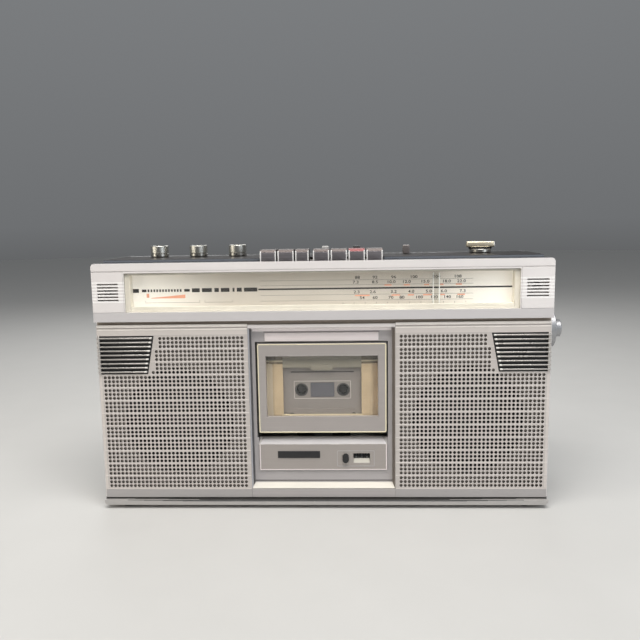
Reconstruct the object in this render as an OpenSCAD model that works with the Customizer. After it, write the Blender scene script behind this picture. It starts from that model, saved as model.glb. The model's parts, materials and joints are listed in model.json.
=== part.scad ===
// Radio cassette recorder: a wide portable stereo with a tuner dial across the top of its front,
// a perforated speaker panel on each side and a cassette deck between them.
// Every piece is drawn from the centre of the front: X to the right, Y into the depth from the
// front face, Z up from the underside of the cabinet. place() then moves the whole set onto its feet.

/* [Cabinet] */
// Width of the deck's face beside the door, both sides together
deck_w = 17.6; // [11:0.2:31]
// Width of each speaker panel
speaker_w = 151.5; // [148:0.5:170]
// Strip of cabinet left outside each speaker panel
side_edge = 1.2; // [0.8:0.1:2]
// Depth of the whole cabinet
body_d = 132; // [126:1:150]
// Depth of the front half
front_d = 46; // [45:0.5:52]
// Thickness of the moulded walls
wall = 3; // [2.4:0.1:3.6]
// How much narrower the rear half is on each side
rear_inset = 4; // [3.6:0.1:6]
// Rounding of the front corners
corner_r = 3.5; // [1:0.5:5]
// Thickness of the panel on top
top_t = 2; // [1.5:0.1:3]
// Height of the feet
foot_h = 4; // [3:0.5:8]
// Diameter of the feet
foot_d = 11; // [8:0.5:16]
// Distance of the feet from the sides and from the front and back
foot_in = 21; // [15:1:40]

/* [Front bands] */
// Height of the lip under the speaker panels
bottom_lip = 5.2; // [4:0.1:8]
// Dark line between that lip and the panels
panel_gap = 1.8; // [1:0.1:3]
// Height of the speaker panels
panel_h = 179; // [176:1:200]
// Dark groove above the speaker panels
groove_h = 4.5; // [3:0.1:7]
// Depth of the dark groove behind the panels' back
groove_d = 2; // [1:0.1:3]
// Plain strip under the dial
strip_h = 9.3; // [7:0.1:14]
// Height of the band that holds the dial
dial_band = 40.6; // [38:0.2:50]
// Height of the lip along the top
top_lip = 8.1; // [6:0.1:12]
// How far the speaker panels sit behind the front face
panel_back = 3.6; // [2:0.1:6]
// Thickness of the speaker panels
panel_t = 1.6; // [1:0.1:2.4]
// Thickness of the wall behind the speaker panels
baffle_t = 4; // [3.5:0.1:6]

/* [Speakers] */
// Opening in front of each woofer
woofer_d = 111; // [100:1:114]
// Width of the woofer's mounting ring
woofer_ring = 6.5; // [4:0.5:7]
// Depth of the woofer behind the wall
woofer_deep = 44; // [36:1:50]
// Distance of the woofer's centre from the outer edge of its panel
woofer_out = 78.8; // [76:0.2:82]
// Height of the woofer's centre over the bottom of its panel
woofer_up = 80.3; // [72:0.1:86]
// Opening in front of each tweeter
tweeter_d = 34; // [28:1:36]
// Distance of the tweeter's centre from the outer edge of its panel
tweeter_out = 25.2; // [24:0.2:30]
// Depth of the tweeter behind the wall
tweeter_deep = 18; // [12:1:20]
// Diameter of the panel's holes
hole_d = 2.6; // [1.8:0.1:2.8]
// Holes in a full row
hole_cols = 35; // [20:1:35]
// Spacing of the holes along a row
col_pitch = 4.118; // [4.0:0.002:4.2]
// Groups of three rows
hole_groups = 12; // [6:1:12]
// Spacing of the rows in a group
row_pitch = 4.07; // [3.8:0.01:4.2]
// Spacing of the groups
group_pitch = 13.23; // [12.8:0.01:13.4]
// Drop from the panel's top to the first row
hole_drop = 12.9; // [10:0.1:15]
// Height of the tweeter's louvre
louvre_h = 39.1; // [36:0.1:44]
// Drop from the panel's top to the louvre
louvre_drop = 10.1; // [9:0.1:14]
// Length of the louvre's top edge
louvre_top = 57.3; // [52:0.1:62]
// Length of the louvre's bottom edge
louvre_low = 49.8; // [46:0.1:56]
// Spacing of the louvre's slats
slat_pitch = 4.3; // [3.8:0.1:5]
// Height of one slat
slat_h = 2.2; // [1.6:0.1:3]
// How far the louvre stands in front of its panel
louvre_out = 1.2; // [0.6:0.1:2]

/* [Dial] */
// Width of the microphone panels at the dial's ends
vent_w = 31.5; // [28:0.5:40]
// Thickness of the microphone panels
vent_t = 4; // [3:0.1:5]
// Slots in a microphone panel
vent_slots = 6; // [3:1:7]
// Spacing of those slots
vent_pitch = 3.16; // [2.8:0.02:4]
// Height of one slot
vent_slot_h = 1.5; // [1:0.1:2]
// Length of one slot
vent_slot_w = 21; // [14:0.5:24]
// Thickness of the clear pane
pane_t = 1.8; // [1:0.1:2.4]
// Depth of the tray that carries the scale
tray_d = 13.8; // [12:0.1:16]
// Side wall of the tray
tray_side = 5; // [3:0.1:8]
// Upper and lower wall of the tray
tray_lip = 2; // [1.2:0.1:3]
// Thickness of the printed scale
scale_t = 3; // [2:0.1:4]
// Width of the pointer
pointer_w = 7; // [3:0.5:10]
// Place of the pointer along the dial
pointer_x = 113.5; // [60:0.5:140]
// Pointer travel toward the low end
travel_low = 93; // [40:1:93]
// Pointer travel toward the high end
travel_high = 37; // [10:1:37]
// Diameter of the rail that the pointer runs on
rail_d = 3; // [2:0.1:4]

/* [Tuning] */
// Height of the tuning knob's axis over the cabinet's underside
tune_z = 174.3; // [168:0.1:178]
// Depth of the tuning knob's axis behind the front face
tune_y = 39.5; // [38:0.5:39.5]
// Diameter of the tuning knob
tune_d = 39; // [30:0.5:44]
// Thickness of the tuning knob
tune_t = 8.9; // [6:0.1:12]
// Diameter of the fine tuning knob
fine_d = 18; // [12:0.5:24]
// Thickness of the fine tuning knob
fine_t = 7.5; // [5:0.1:10]
// Diameter of the tuning shaft
tune_shaft_d = 6; // [5:0.1:6.4]
// Diameter of the fine tuning shaft
fine_shaft_d = 3; // [2:0.1:3.4]
// Diameter of the drum that the tuner turns on
drum_d = 40; // [30:1:44]

/* [Cassette deck] */
// Slanting border round the deck
deck_bevel = 2.6; // [2:0.1:4]
// Depth of the deck's face behind the front face
deck_face = 10; // [9.4:0.1:12]
// Depth of the deck's box
deck_d = 34; // [32:0.5:36]
// Width of the cassette door
door_w = 129; // [125:0.5:132]
// Height of the cassette door
door_h = 91.7; // [88:0.1:96]
// Height of the door's lower edge over the underside
door_z = 74.3; // [73:0.1:76]
// Thickness of the door's front
door_t = 3; // [2:0.1:4]
// Black gap round the door
door_gap = 1; // [0.6:0.1:2]
// Width of the door's window
window_w = 113; // [108:0.5:118]
// Height of the door's window
window_h = 63; // [58:0.5:66]
// Height of the window's lower edge over the door's
window_up = 16.2; // [14:0.1:18]
// Width of the two pillars in the window
pillar_w = 16.7; // [12:0.1:20]
// Diameter of the door's hinge pins
hinge_d = 4; // [3:0.1:5]
// Height of the lower panel
lower_h = 27.2; // [25:0.1:30]
// Height of the slant over the lower panel
slant_h = 6.5; // [5:0.1:8]
// Depth of that slant
slant_d = 5.5; // [3:0.1:7]
// Width of one counter wheel
counter_w = 4.9; // [4:0.1:5.6]
// Diameter of the counter wheels
counter_d = 12; // [9:0.5:13]
// Place of the counter along the panel
counter_x = 39.3; // [36:0.1:46]
// Place of the reset button along the panel
reset_x = 22.9; // [18:0.1:23.5]

/* [Cassette] */
// Width of the cassette
tape_w = 100.4; // [100:0.1:100.8]
// Height of the cassette
tape_h = 63.8; // [63.4:0.1:64.2]
// Thickness of the cassette
tape_t = 8.9; // [8.4:0.1:9.2]
// Extra thickness of its lower part on each face
tape_swell = 1.4; // [1:0.1:1.8]
// Spacing of its two hubs
hub_pitch = 42.5; // [42:0.1:43]
// Diameter of its hub openings
hub_d = 12.6; // [12:0.1:13]
// Height of the hubs over its lower edge
hub_up = 34.7; // [34:0.1:35.4]

/* [Keys] */
// Width of one key
key_w = 15.9; // [13:0.1:16.5]
// Width of the third key, which is narrower
third_key_w = 13.2; // [11:0.1:16.5]
// Gap between two keys
key_gap = 1.65; // [1:0.05:2]
// Middle of the row of keys
key_mid = 0.9; // [-2:0.1:2]
// Depth of the keys' front behind the front face
key_front = 12; // [11.6:0.1:14]
// Depth of a key's cap
key_d = 26; // [22:0.5:28]
// Height of the caps over the top lip
key_up = 10.7; // [8:0.1:14]
// Diameter of the shaft that the keys swing on
key_shaft_d = 4; // [3:0.1:5]

/* [Top controls] */
// Distance of the row of controls in front of the step at the back
control_y = 12; // [11.5:0.5:16]
// Diameter of the three round knobs
knob_d = 20.3; // [16:0.1:22]
// Height of the round knobs
knob_h = 12.5; // [9:0.1:16]
// Distance of the middle round knob from the left end
knob_x = 90; // [86:0.5:96]
// Spacing of the round knobs
knob_pitch = 43; // [36:0.5:44]
// Diameter of the control shafts
control_shaft_d = 6; // [4:0.1:7]
// Place of the function switch
function_x = 3; // [-2:0.5:8]
// Place of the mode switch
mode_x = 37; // [30:0.5:44]
// Distance of the monitor switch from the right end
monitor_x = 135.6; // [128:0.2:142]
// Width of a slide switch's knob
slide_w = 7.6; // [6:0.1:10]
// Height of a slide switch's knob
slide_h = 9.2; // [7:0.1:12]
// Travel of a slide switch to each side
slide_travel = 4; // [2:0.5:5]
// Length of the band selector's bar
bar_l = 30.4; // [24:0.1:34]
// Height of the band selector
bar_h = 12.8; // [9:0.1:16]
// Distance of the band selector from the right end
bar_x = 56.2; // [48:0.2:66]

/* [Handle and aerial] */
// Height of the step in the back over the underside
step_z = 216; // [212:0.5:218]
// Depth of the step from the back
step_d = 36; // [34:0.5:36]
// Thickness of the handle's arms
arm_t = 6; // [4:0.5:8]
// Width of the handle's arms
arm_w = 16; // [12:0.5:17]
// Depth of the handle's pivot behind the front face
pivot_y = 62; // [58:0.5:66]
// Drop of the handle's pivot from the top of the cabinet
pivot_drop = 6.5; // [6.2:0.1:8]
// Diameter of the handle's pivots
pivot_d = 6; // [4:0.1:7]
// Thickness of the grip
grip_t = 18; // [14:0.5:18.5]
// Height of the grip
grip_h = 22; // [16:0.5:22]
// Diameter of the aerial's outer tube
aerial_d = 7; // [5.5:0.1:7.4]
// Diameter of the aerial's inner rod
aerial_rod_d = 4.4; // [3:0.1:4.8]
// Length of the aerial when pushed in
aerial_l = 190; // [150:1:300]

/* [Back] */
// Width of the battery space
battery_w = 252; // [250:1:260]
// Height of the battery space
battery_h = 72.5; // [70:0.5:78]
// Depth of the battery space
battery_d = 40; // [37:0.5:42]
// Height of the battery opening over the underside
battery_z = 11; // [8:0.5:14]
// Thickness of the battery lid
lid_t = 2.8; // [2.2:0.1:3]
// Diameter of the lid's hinge pins
lid_pin_d = 1.6; // [1.2:0.1:1.7]
// Number of jack sockets
jack_count = 3; // [1:1:4]
// Diameter of a jack socket's bore
jack_d = 3.6; // [3.5:0.1:4]
// Depth of a jack socket's bore
jack_deep = 14; // [12:0.5:15]
// Distance of the first jack socket from the right end
jack_x = 76; // [70:0.5:78]
// Height of the jack sockets over the underside
jack_z = 60; // [40:1:80]
// Distance of the mains inlet from the left end
inlet_x = 51; // [46:0.5:66]
// Height of the mains inlet over the underside
inlet_z = 82; // [78:0.5:95]

/* [Fits] */
// Radial clearance of a pin or shaft in its bore
fit = 0.05; // [0.02:0.01:0.1]
// Clearance between pieces that are set into one another
seat_gap = 0.2; // [0.1:0.05:0.3]
// Clearance between faces that move past one another
free_gap = 0.3; // [0.2:0.05:0.5]

/* [Hidden] */
$fn = 48;
over = 1;

// Widths across the front
deck_span = door_w + deck_w;
body_w = deck_span + 2 * speaker_w + 2 * side_edge;
half_w = body_w / 2;
rear_half = half_w - rear_inset;
panel_in = deck_span / 2;
panel_end = panel_in + speaker_w;

// Heights of the front bands
panel_z = bottom_lip + panel_gap;
panel_top = panel_z + panel_h;
strip_z = panel_top + groove_h;
dial_z = strip_z + strip_h;
dial_top = dial_z + dial_band;
body_h = dial_top + top_lip;
inside_top = body_h - wall;
top_z = body_h + top_t;

// Depths at the front
panel_y = panel_back;
baffle_y = panel_y + panel_t;
baffle_back = baffle_y + baffle_t;
rim_d = 3;

// Depths of the step at the back and of the controls in front of it
step_y = body_d - step_d;
row_y = step_y - control_y;

// Speakers and louvres
woofer_x = panel_end - woofer_out;
woofer_z = panel_z + woofer_up;
tweeter_x = panel_end - tweeter_out;
louvre_hi = panel_top - louvre_drop;
louvre_lo = louvre_hi - louvre_h;
tweeter_z = (louvre_hi + louvre_lo) / 2 - 1.8;
tweeter_ring = 5;
louvre_y = panel_y - louvre_out;
louvre_frame = 2.4;
hole_in = (speaker_w - (hole_cols - 1) * col_pitch) / 2;
hole_top = panel_top - hole_drop;
group_edge = (group_pitch - 2 * row_pitch) / 2;
hole_margin = 4.5;

// Dial
dial_half = half_w - vent_w - 1;
window_drop = 1.6;
window_hi = dial_top - window_drop;
pane_y = 0.4;
tray_y = pane_y + pane_t;
tray_back = tray_y + tray_d;
tray_floor = tray_back - 1.5;
tray_flange = 4;
scale_y = tray_floor - scale_t;
tray_lo = dial_z + seat_gap + tray_lip;
tray_hi = window_hi - seat_gap - tray_lip;
arm_slot = 2.2;
pointer_y = tray_y + 5.8;
pointer_t = 1.2;
rail_y = tray_back + 4;
rail_z = dial_z + 4.4;
carriage_w = 13;
carriage_h = 7;
rail_lo = pointer_x - travel_low - carriage_w / 2 - 2;
rail_hi = pointer_x + travel_high + carriage_w / 2 + 2;
lug_w = 6;
line_h = 0.6;

// Tuning
tune_in = 0.6;
tune_face = half_w + tune_in + tune_t;
fine_face = tune_face + 0.5 + fine_t;
tune_boss_d = tune_shaft_d + 5;
tune_boss_l = 6;
spool_in = 30;
spool_x = half_w - spool_in;
spool_d = tune_shaft_d + 1;
board_z = strip_z + 1.5;
board_t = 1.6;
board_in = panel_in + 4.7;
board_side = 21;
board_out = half_w - board_side;
board_y = 22;
shelf_t = 2.5;
drum_in = 38;
drum_x = board_out - drum_in;
drum_z = board_z + board_t + drum_d / 2 + 3;
drum_y = rail_y + 6;
drum_t = 5.5;
drum_pin_d = 5;

// Deck
deck_z = panel_z + 8.8;
deck_top = panel_top - 3.4;
deck_half = deck_span / 2 - seat_gap;
deck_plate = 2.5;
deck_flange = 4.5;
deck_opening = door_w / 2 + door_gap;
deck_inner = deck_half - deck_bevel;
door_half = door_w / 2;
door_top = door_z + door_h;
door_y = deck_face - 2.5;
door_back = door_y + door_t;
window_half = window_w / 2;
window_z = door_z + window_up;
window_top = window_z + window_h;
window_t = 1.5;
window_edge = 2;
holder_y = door_back + window_t;
tape_y = holder_y + 4;
tape_z = door_z + 7.8;
tape_top = tape_z + tape_h;
tape_back = tape_y + tape_t;
hub_z = tape_z + hub_up;
tape_pane = 12.2;
pane_deep = 1.2;
pane_down = 7.8;
pane_rise = 7.4;
pillar_t = 3.6;
holder_in = tape_w / 2 + 0.6;
holder_wall = 2.6;
bar_lo = hub_z + 23.6;
bar_hi = bar_lo + 8;
hinge_y = deck_face + 5;
hinge_z = door_z + 3.7;
hinge_lug = 3;
lug_d = 8;
slant_gap = 6.6;
lower_z = door_z - slant_gap - slant_h - lower_h;
lower_top = lower_z + lower_h;
lower_half = deck_opening - seat_gap;
lower_y = deck_face - 1.5;
counter_z = lower_z + 12.6;
counter_open = 5.1;
counter_room = 6.8;
counter_lip = 2;
counter_y = lower_y + 2.8 + counter_d / 2;
counter_axle = 3;
wheel_gap = 0.6;
counter_half = (3 * counter_w + 2 * wheel_gap) / 2 + 0.6;
reset_w = 5.8;
reset_h = 9;
chassis_t = 2;
chassis_y = deck_d;
chassis_back = chassis_y + chassis_t;

// Drive behind the deck
spindle_d = 8.4;
spindle_shaft_d = 4;
reel_d = 26;
reel_t = 3;
capstan_x = 31.5;
capstan_z = tape_z + 8.5;
capstan_d = 2.4;
locator_d = 5.2;
flywheel_d = 54;
flywheel_t = 8;
bearing_l = 22;
flywheel_y = chassis_back + bearing_l + 2;
motor_x = -40;
motor_z = 56;
motor_d = 34;
motor_l = 25;
pulley_d = 10;
motor_shaft_d = 2;
belt_t = 1;
belt_w = 3;
belt_y = flywheel_y + 2.5;
head_up = 3.6;
head_half = 9;
plate_t = 2.4;
plate_half = 28;
plate_low = 30;
head_h = 14;

// Keys
key_count = 7;
key_pitch = key_w + key_gap;
key_left = key_mid - (key_count * key_pitch - key_gap) / 2;
key_right = key_left + key_count * key_pitch - key_gap;
key_top = body_h + key_up;
key_foot = body_h - 2.5;
key_back = key_front + key_d;
shaft_gap = 10;
key_shaft_y = row_y - shaft_gap;
key_shaft_z = inside_top - 9.5;
key_hub_d = key_shaft_d + 6;
key_cut_front = key_front - 3;
key_cut_back = key_back + 3.5;
key_side = 1.5;
bracket_t = 2.5;
bracket_drop = 30;
top_set = 14;
bracket_x = deck_half - 6.6;

// Top controls
slide_xs = [function_x, mode_x, half_w - monitor_x];
knob_xs = [for (i = [-1:1]) knob_x - half_w + i * knob_pitch];
selector_x = half_w - bar_x;
control_boss_d = control_shaft_d + 6;
control_boss_l = 8;
control_gap = 0.5;
slide_d = 6;
stem_w = 4;
stem_d = 3;
slot_half = stem_w / 2 + slide_travel + free_gap;
foot_t = 3;
bar_d = 8;
bar_base_d = 23;
bar_base_h = 3.4;

// Handle and aerial
pivot_z = body_h - pivot_drop;
arm_in = rear_half + 0.5;
arm_out = arm_in + arm_t;
grip_y = body_d - grip_t;
grip_z = pivot_z + arm_w / 2 - grip_h;
grip_round = 4;
aerial_y = step_y + aerial_d / 2 + 1;
aerial_z = step_z + aerial_d / 2 + 2;
aerial_x = -rear_half + 14;
aerial_pin_d = 3;
fork_t = 2.2;
fork_half = 6;
eye_t = aerial_d - 3.2;
eye_d = 8;
neck_l = 9;
rod_tip = 8;

// Back
lid_y = body_d - lid_t / 2;
lid_gap = 0.4;
lid_pin_l = 3;
battery_wall = 2;
battery_y = body_d - wall - battery_d;
rear_vents = 6;
rear_vent_h = 3;
rear_vent_pitch = 9;
rear_vent_z = 112;
rear_vent_in = 90;
rear_vent_out = 30;
inlet_mid = inlet_x - half_w;
transformer_x = inlet_mid;
core_w = 60;
core_d = 55;
core_h = 55;
core_gap = 4;
coil_w = 40;
coil_d = 6;
coil_in = 8;
jack_pitch = 16;
jack_out = 0.5;
jack_half = jack_pitch / 2 - seat_gap;
jack_first = half_w - jack_x;
inlet_half = 10;
inlet_h = 14;
inlet_deep = 18;
screw_in = 8;
screw_xz = [[rear_half - screw_in, 14], [rear_half - screw_in, panel_top + 4]];
screw_d = 3;
screw_head = 8;
screw_l = 22;
post_d = 12;
boss_d = 13;
boss_floor = front_d + 10;

// The set is centred on its own box
reach_right = fine_face;
reach_left = arm_out;
reach_back = body_d + jack_out;
origin = [(reach_left - reach_right) / 2, -reach_back / 2, foot_h];

// Shapes that repeat

module place() { translate(origin) children(); }

// A box between two corners
module block(x0, x1, y0, y1, z0, z1) {
  translate([x0, y0, z0]) cube([x1 - x0, y1 - y0, z1 - z0]);
}

// A box that reaches as far to the left as to the right
module slab(half, y0, y1, z0, z1) { block(-half, half, y0, y1, z0, z1); }

module rod_x(x0, x1, y, z, d) { translate([x0, y, z]) rotate([0, 90, 0]) cylinder(d = d, h = x1 - x0); }

module rod_y(x, z, y0, y1, d) { translate([x, y1, z]) rotate([90, 0, 0]) cylinder(d = d, h = y1 - y0); }

module rod_z(x, y, z0, z1, d) { translate([x, y, z0]) cylinder(d = d, h = z1 - z0); }

// A side outline (depth, height) run from x0 to x1
module along_x(x0, x1) { translate([x0, 0, 0]) rotate([90, 0, 90]) linear_extrude(x1 - x0) children(); }

// A front outline (width, height) run from y0 to y1
module along_y(y0, y1) { translate([0, y1, 0]) rotate([90, 0, 0]) linear_extrude(y1 - y0) children(); }

// A turned outline (radius, depth) with its axis along Y
module turned(x, y, z) { translate([x, y, z]) rotate([-90, 0, 0]) rotate_extrude() children(); }

module both_sides() {
  children();
  mirror([1, 0, 0]) children();
}

// A rectangle with round corners, made of exact squares and circles
module round_rect(x0, x1, z0, z1, r) {
  translate([x0 + r, z0]) square([x1 - x0 - 2 * r, z1 - z0]);
  translate([x0, z0 + r]) square([x1 - x0, z1 - z0 - 2 * r]);
  for (x = [x0 + r, x1 - r], z = [z0 + r, z1 - r]) translate([x, z]) circle(r = r);
}

// Cabinet

module front_openings() {
  // Band of the speaker panels, with the groove over it
  slab(half_w + over, -over, baffle_y, bottom_lip, strip_z);
  slab(half_w + over, -over, baffle_y + groove_d, panel_top, strip_z);
  // Line under the top lip
  slab(half_w + over, -over, line_h, dial_top, dial_top + line_h);
  // Deck, dial and microphone panels
  slab(panel_in, -over, baffle_back + over, deck_z, deck_top);
  slab(dial_half, -over, baffle_back + over, dial_z, window_hi);
  both_sides() {
    block(half_w - vent_w, half_w + over, -over, vent_t, dial_z, dial_top);
    rod_y(half_w - vent_w / 2, (dial_z + dial_top) / 2, 0, baffle_back + over, 10);
    rod_y(woofer_x, woofer_z, 0, baffle_back + over, woofer_d);
    rod_y(tweeter_x, tweeter_z, 0, baffle_back + over, tweeter_d);
    for (p = screw_xz) rod_y(p[0], p[1], front_d - screw_l / 2 - 2, front_d + over, screw_d + 2 * fit);
  }
  // Keys and tuning shaft
  block(key_left - key_side, key_right + key_side, key_cut_front, key_cut_back, inside_top - over, top_z);
  rod_x(half_w - wall - tune_boss_l - over, half_w + over, tune_y, tune_z, tune_shaft_d + 2 * fit);
}

module front_cabinet() {
  color("lightgray") place() {
    difference() {
      union() {
        difference() {
          along_y(0, front_d) round_rect(-half_w, half_w, 0, body_h, corner_r);
          slab(half_w - wall, baffle_back, front_d - rim_d, wall, inside_top);
          slab(rear_half - wall, baffle_back, front_d + over, wall, inside_top);
        }
        block(board_in, board_out, baffle_back - over, board_y + 3, board_z - shelf_t, board_z);
        rod_x(half_w - wall - tune_boss_l, half_w - wall / 2, tune_y, tune_z, tune_boss_d);
        both_sides() for (p = screw_xz) rod_y(p[0], p[1], baffle_back - over, front_d, post_d);
      }
      front_openings();
    }
    // Strips under and over the deck, flush with the speaker panels
    slab(panel_in - seat_gap, panel_y, baffle_y + over, panel_z, deck_z);
    slab(panel_in - seat_gap, panel_y, baffle_y + over, deck_top, panel_top);
  }
}

module rear_outline(t) {
  polygon([
    [front_d - (t > 0 ? over : 0), t], [body_d - t, t], [body_d - t, step_z - t],
    [step_y - t, step_z - t], [step_y - t, body_h - t], [front_d - (t > 0 ? over : 0), body_h - t]
  ]);
}

// Fork with its pin, which holds the aerial's eye
module aerial_fork() {
  gap_half = eye_t / 2 + free_gap;
  for (y = [step_y - over, aerial_y + gap_half]) {
    y1 = y < aerial_y ? aerial_y - gap_half : y + fork_t;
    block(aerial_x - fork_half, aerial_x + fork_half, y, y1, step_z - over, aerial_z + eye_d / 2);
  }
  rod_y(aerial_x, aerial_z, aerial_y - gap_half - over, aerial_y + gap_half + over, aerial_pin_d);
}

module rear_solid() {
  difference() {
    along_x(-rear_half, rear_half) rear_outline(0);
    along_x(-rear_half + wall, rear_half - wall) rear_outline(wall);
  }
  both_sides() {
    for (p = screw_xz) rod_y(p[0], p[1], front_d, body_d - wall / 2, boss_d);
    rod_x(rear_half - wall / 2, arm_out, pivot_y, pivot_z, pivot_d);
  }
  for (x = concat(knob_xs, [selector_x])) {
    rod_z(x, row_y, inside_top - control_boss_l, body_h - wall / 2, control_boss_d);
  }
  aerial_fork();
}

module rear_openings() {
  both_sides() {
    for (p = screw_xz) {
      rod_y(p[0], p[1], boss_floor, body_d + over, screw_head + 1);
      rod_y(p[0], p[1], front_d - over, boss_floor + over, screw_d + 2 * fit);
    }
    for (i = [0:rear_vents - 1]) {
      z = rear_vent_z + i * rear_vent_pitch;
      block(rear_vent_in, rear_half - rear_vent_out, body_d - wall - over, body_d + over, z, z + rear_vent_h);
    }
    // Battery lid's pin holes
    rod_x(battery_w / 2 - over, battery_w / 2 + lid_pin_l, lid_y, battery_z + lid_t / 2 + lid_gap,
      lid_pin_d + 2 * fit);
  }
  slab(battery_w / 2, body_d - wall - over, body_d + over, battery_z, battery_z + battery_h);
  // Jack sockets and mains inlet
  block(jack_first - jack_half - seat_gap, jack_first + (jack_count - 1) * jack_pitch + jack_half + seat_gap,
    body_d - wall - over, body_d + over, jack_z - 8 - seat_gap, jack_z + 8 + seat_gap);
  block(inlet_mid - inlet_half - seat_gap, inlet_mid + inlet_half + seat_gap,
    body_d - wall - over, body_d + over, inlet_z - inlet_h / 2 - seat_gap,
      inlet_z + inlet_h / 2 + seat_gap);
  control_openings(inside_top - control_boss_l - over, body_h + over);
}

// Holes for the control shafts and slots for the slide switches
module control_openings(z0, z1) {
  for (x = concat(knob_xs, [selector_x])) rod_z(x, row_y, z0, z1, control_shaft_d + 2 * fit);
  for (x = slide_xs) {
    block(x - slot_half, x + slot_half, row_y - stem_d / 2 - free_gap,
      row_y + stem_d / 2 + free_gap, z0, z1);
  }
}

module rear_cover() {
  color("dimgray") place() difference() {
    rear_solid();
    rear_openings();
  }
}

module top_panel() {
  color("#3a3836") place() difference() {
    slab(rear_half, key_front + top_set, step_y, body_h, top_z);
    block(key_left - key_side, key_right + key_side, key_front, key_cut_back, body_h - over,
      top_z + over);
    control_openings(body_h - over, top_z + over);
  }
}

module feet() {
  color("#222222") place() both_sides() {
    for (y = [foot_in / 2 + 2, body_d - foot_in / 2 - 4]) {
      rod_z(half_w - foot_in, y, -foot_h, 0, foot_d);
    }
  }
}

module case_screws() {
  color("silver") place() both_sides() for (p = screw_xz) {
    rod_y(p[0], p[1], boss_floor, boss_floor + 3, screw_head);
    rod_y(p[0], p[1], boss_floor - screw_l + 2, boss_floor + over, screw_d);
  }
}

// Speaker panels

// Inner edge of the louvre at a height
function louvre_edge(z) =
  panel_end - louvre_low - (louvre_top - louvre_low) * (z - louvre_lo) / (louvre_hi - louvre_lo);

// How far a row of holes may run
function row_end(z) = z > louvre_lo ? louvre_edge(z) - hole_margin : panel_end - hole_d;

module louvre_outline(inset) {
  polygon([
    [louvre_edge(louvre_hi) + inset, louvre_hi - inset], [panel_end + (inset > 0 ? 0 : over),
    louvre_hi - inset],
    [panel_end + (inset > 0 ? 0 : over), louvre_lo + inset], [louvre_edge(louvre_lo) + inset,
    louvre_lo + inset]
  ]);
}

// One group of three rows of holes
module hole_strip(group) {
  hi = hole_top + group_edge - group * group_pitch;
  along_y(panel_y, baffle_y) difference() {
    translate([panel_in, hi - group_pitch]) square([speaker_w, group_pitch]);
    for (row = [0:2], col = [0:hole_cols - 1]) {
      x = panel_in + hole_in + col * col_pitch;
      z = hi - group_edge - row * row_pitch;
      if (x < row_end(z)) translate([x, z]) circle(d = hole_d, $fn = 16);
    }
  }
}

module grille() {
  rows_top = hole_top + group_edge;
  rows_low = rows_top - hole_groups * group_pitch;
  difference() {
    union() {
      block(panel_in, panel_end, panel_y, baffle_y, rows_top, panel_top);
      for (group = [0:hole_groups - 1]) hole_strip(group);
      block(panel_in, panel_end, panel_y, baffle_y, panel_z, rows_low);
    }
    along_y(panel_y - over, baffle_y + over) louvre_outline(0);
  }
}

module grille_left() { color("silver") place() mirror([1, 0, 0]) grille(); }

module grille_right() { color("silver") place() grille(); }

module tweeter_louvre() {
  gaps = floor((louvre_h - 2 * louvre_frame + slat_h) / slat_pitch);
  mid = (louvre_hi + louvre_lo) / 2;
  difference() {
    along_y(louvre_y, baffle_y) louvre_outline(seat_gap);
    intersection() {
      along_y(louvre_y - over, baffle_y + over) louvre_outline(louvre_frame);
      for (i = [0:gaps - 1]) {
        z = mid + (i - gaps / 2) * slat_pitch + slat_h / 2;
        block(panel_in, panel_end - louvre_frame, louvre_y - over, baffle_y + over, z,
          z + slat_pitch - slat_h);
      }
    }
  }
}

module tweeter_louvres() { color("gainsboro") place() both_sides() tweeter_louvre(); }

module woofers() {
  r = woofer_d / 2 + woofer_ring;
  color("#1c1b1a") place() for (x = [-woofer_x, woofer_x]) turned(x, baffle_back, woofer_z) polygon([
    [0, 15], [14, 19], [woofer_d / 2 - 7, 4], [woofer_d / 2 - 2, 0.6], [r - woofer_ring, 0], [r, 0],
    [r, 2], [woofer_d / 2 - 2, 2.5], [34, woofer_deep - 18], [34, woofer_deep], [0, woofer_deep]
  ]);
}

module tweeters() {
  r = tweeter_d / 2 + tweeter_ring;
  color("#1c1b1a") place() for (x = [-tweeter_x, tweeter_x]) turned(x, baffle_back, tweeter_z) polygon([
    [0, 2], [5, 3], [tweeter_d / 2, 0], [r, 0], [r, 2], [tweeter_d / 2, 2.5],
    [tweeter_d / 2, tweeter_deep], [0, tweeter_deep]
  ]);
}

// Dial

module mic_grilles() {
  mid = (dial_z + dial_top) / 2;
  color("lightgray") place() both_sides() difference() {
    block(half_w - vent_w + seat_gap, half_w, 0, vent_t, dial_z + seat_gap, dial_top - seat_gap);
    for (i = [0:vent_slots - 1]) {
      z = mid + (i - (vent_slots - 1) / 2) * vent_pitch;
      translate([half_w - vent_w / 2, vent_t / 2, z]) cube([vent_slot_w, vent_t + over,
        vent_slot_h], center = true);
    }
  }
}

module dial_tray() {
  color("wheat") place() difference() {
    union() {
      slab(dial_half - seat_gap, tray_y, tray_back, dial_z + seat_gap, window_hi - seat_gap);
      slab(dial_half + tray_flange, baffle_back, baffle_back + 2, dial_z - tray_flange,
        window_hi + window_drop);
      for (x = [rail_lo - lug_w, rail_hi]) {
        block(x, x + lug_w, tray_back - over, rail_y + rail_d, rail_z - 4, rail_z + 4);
      }
      rod_x(rail_lo - over, rail_hi + over, rail_y, rail_z, rail_d);
    }
    slab(dial_half - seat_gap - tray_side, 0, tray_floor, tray_lo, tray_hi);
    block(rail_lo, rail_hi, 0, tray_back + over, tray_lo, tray_lo + arm_slot);
  }
}

module dial_scale() {
  color("ivory") place()
    slab(dial_half - seat_gap - tray_side, scale_y, tray_floor, tray_lo + arm_slot, tray_hi);
}

module dial_window() {
  color([0.9, 0.95, 1, 0.35]) place()
    slab(dial_half - seat_gap, pane_y, tray_y, dial_z + seat_gap, window_hi - seat_gap);
}

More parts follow.
